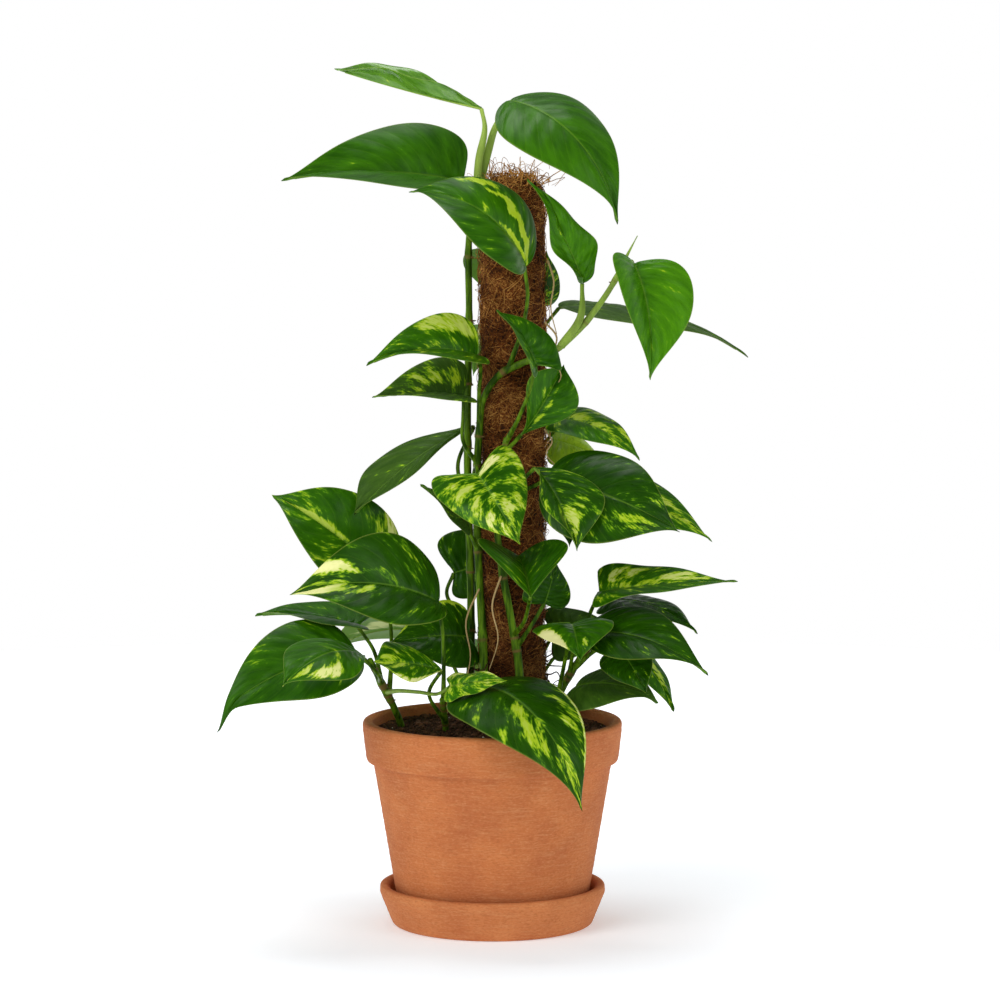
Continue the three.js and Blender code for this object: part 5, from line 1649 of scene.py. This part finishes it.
ROOTS = (
    ((38, -18, 462), (42, -24, 448), (40, -27, 430), (44, -26, 412)),
    ((36, -20, 420), (44, -26, 410), (41, -30, 396), (47, -28, 384), (42, -26, 374)),
    ((36, -14, 346), (41, -20, 338), (37, -24, 330), (43, -22, 322)),
    ((-9, -16, 236), (-18, -22, 214), (-15, -26, 190), (-20, -24, 166)),
    ((6, -26, 246), (0, -32, 226), (4, -36, 204), (-2, -34, 182)),
    ((-14, 24, 176), (-24, 30, 160), (-30, 28, 146), (-34, 30, 139)),
    ((28, 40, 236), (36, 46, 214), (32, 50, 194)),
)


# ---------------------------------------------------------------- the studio


@dataclass
class Studio:
    """A white paper floor, a bright room and soft boxes, with a long lens a few metres away.

    Its sizes are in metres, its pitch in degrees and its focal length in millimetres.
    """

    distance: float = 2.743
    height: float = 0.560
    right: float = 0.00535
    pitch: float = 5.5
    focal: float = 143.5
    paper: float = 1.5  # radius of the floor

    def camera(self) -> None:
        """Sets the camera."""
        lens = bpy.data.cameras.new("long_lens")
        lens.sensor_width = 36
        lens.lens = self.focal
        lens.clip_end = 100
        camera = bpy.data.objects.new("long_lens", lens)
        camera.location = (self.right, -self.distance, self.height)
        camera.rotation_euler = (math.radians(90 - self.pitch), 0, 0)
        bpy.context.scene.collection.objects.link(camera)
        bpy.context.scene.camera = camera

    def floor(self) -> None:
        """Lays the paper floor."""
        turn = np.linspace(0, 2 * math.pi, 96, endpoint=False)
        mesh = bpy.data.meshes.new("paper_floor")
        ring = [(self.paper * math.cos(a), self.paper * math.sin(a), 0.0) for a in turn]
        mesh.from_pydata(ring, [], [list(range(len(ring)))])
        mesh.materials.append(StudioPaper("white_studio_paper").material())
        paper = bpy.data.objects.new("paper_floor", mesh)
        bpy.context.scene.collection.objects.link(paper)

    def soft_box(self, name: str, place: Point, size: float, power: float) -> None:
        """Hangs a soft box that points at the plant.

        Args:
            name: its name.
            place: where it hangs, in metres.
            size: the side of its square, in metres.
            power: its power in watts.
        """
        lamp = bpy.data.lights.new(name, "AREA")
        lamp.shape = "SQUARE"
        lamp.size = size
        lamp.energy = power
        box = bpy.data.objects.new(name, lamp)
        box.location = place
        aim = np.array([0.0, 0.0, 0.27]) - np.array(place)
        flat = math.hypot(aim[0], aim[1])
        box.rotation_euler = (math.atan2(flat, -aim[2]), 0, math.atan2(-aim[0], aim[1]))
        bpy.context.scene.collection.objects.link(box)

    def room(self) -> None:
        """Fills the room with light: white low down, dimmer overhead, so that wax reflects softly."""
        world = bpy.data.worlds.new("bright_room")
        bpy.context.scene.world = world
        world.use_nodes = True
        tree = world.node_tree
        tree.nodes.clear()
        way = add_node(tree, "ShaderNodeTexCoord").outputs["Generated"]
        axes = add_node(tree, "ShaderNodeSeparateXYZ", links={0: way}).outputs
        share = add_node(tree, "ShaderNodeMapRange", {"From Min": 0.08, "From Max": 0.45},
                         {"Value": axes[2]}, interpolation_type="SMOOTHSTEP")
        light = add_node(tree, "ShaderNodeMix",
                         {MIX_A: (1.0, 1.0, 1.0, 1.0), MIX_B: (0.22, 0.22, 0.22, 1.0)},
                         {"Factor": share.outputs[0]}, data_type="RGBA")
        shell = add_node(tree, "ShaderNodeBackground", {"Strength": 1.0}, {"Color": light.outputs[MIX_OUT]})
        add_node(tree, "ShaderNodeOutputWorld", links={"Surface": shell.outputs[0]})

    def build(self) -> None:
        """Sets up floor, light and camera."""
        self.floor()
        self.room()
        self.soft_box("key_upper_left", (-1.5, -1.9, 1.9), 1.7, 38)
        self.soft_box("fill_right", (1.9, -1.6, 1.6), 1.5, 15)
        self.soft_box("top", (0.0, 0.5, 2.4), 1.2, 22)
        self.camera()
        bpy.context.scene.view_settings.view_transform = "Standard"
        bpy.context.scene.view_settings.look = "None"


def main() -> None:
    """Builds the plant, its pot and the studio in order."""
    logging.basicConfig(level=logging.INFO, format="%(name)s %(message)s")
    pot = Pot()
    pieces = [Saucer().build(), pot.build(), *SoilBed(pot).build(), *COIR_POLE.build()]
    for number, stem in enumerate(STEMS.values()):
        heights = [leaf.node for leaf in LEAVES if leaf.stem == stem.name]
        pieces.append(stem.build(heights, 60 + number))
    pieces += [leaf.build(STEMS[leaf.stem], 700 + number) for number, leaf in enumerate(LEAVES)]
    pieces.append(AerialRoots(ROOTS).build())
    Studio().build()
    for piece in pieces:
        LOG.info("%s: %d faces", piece.name, len(piece.data.polygons))


if __name__ == "__main__":
    main()
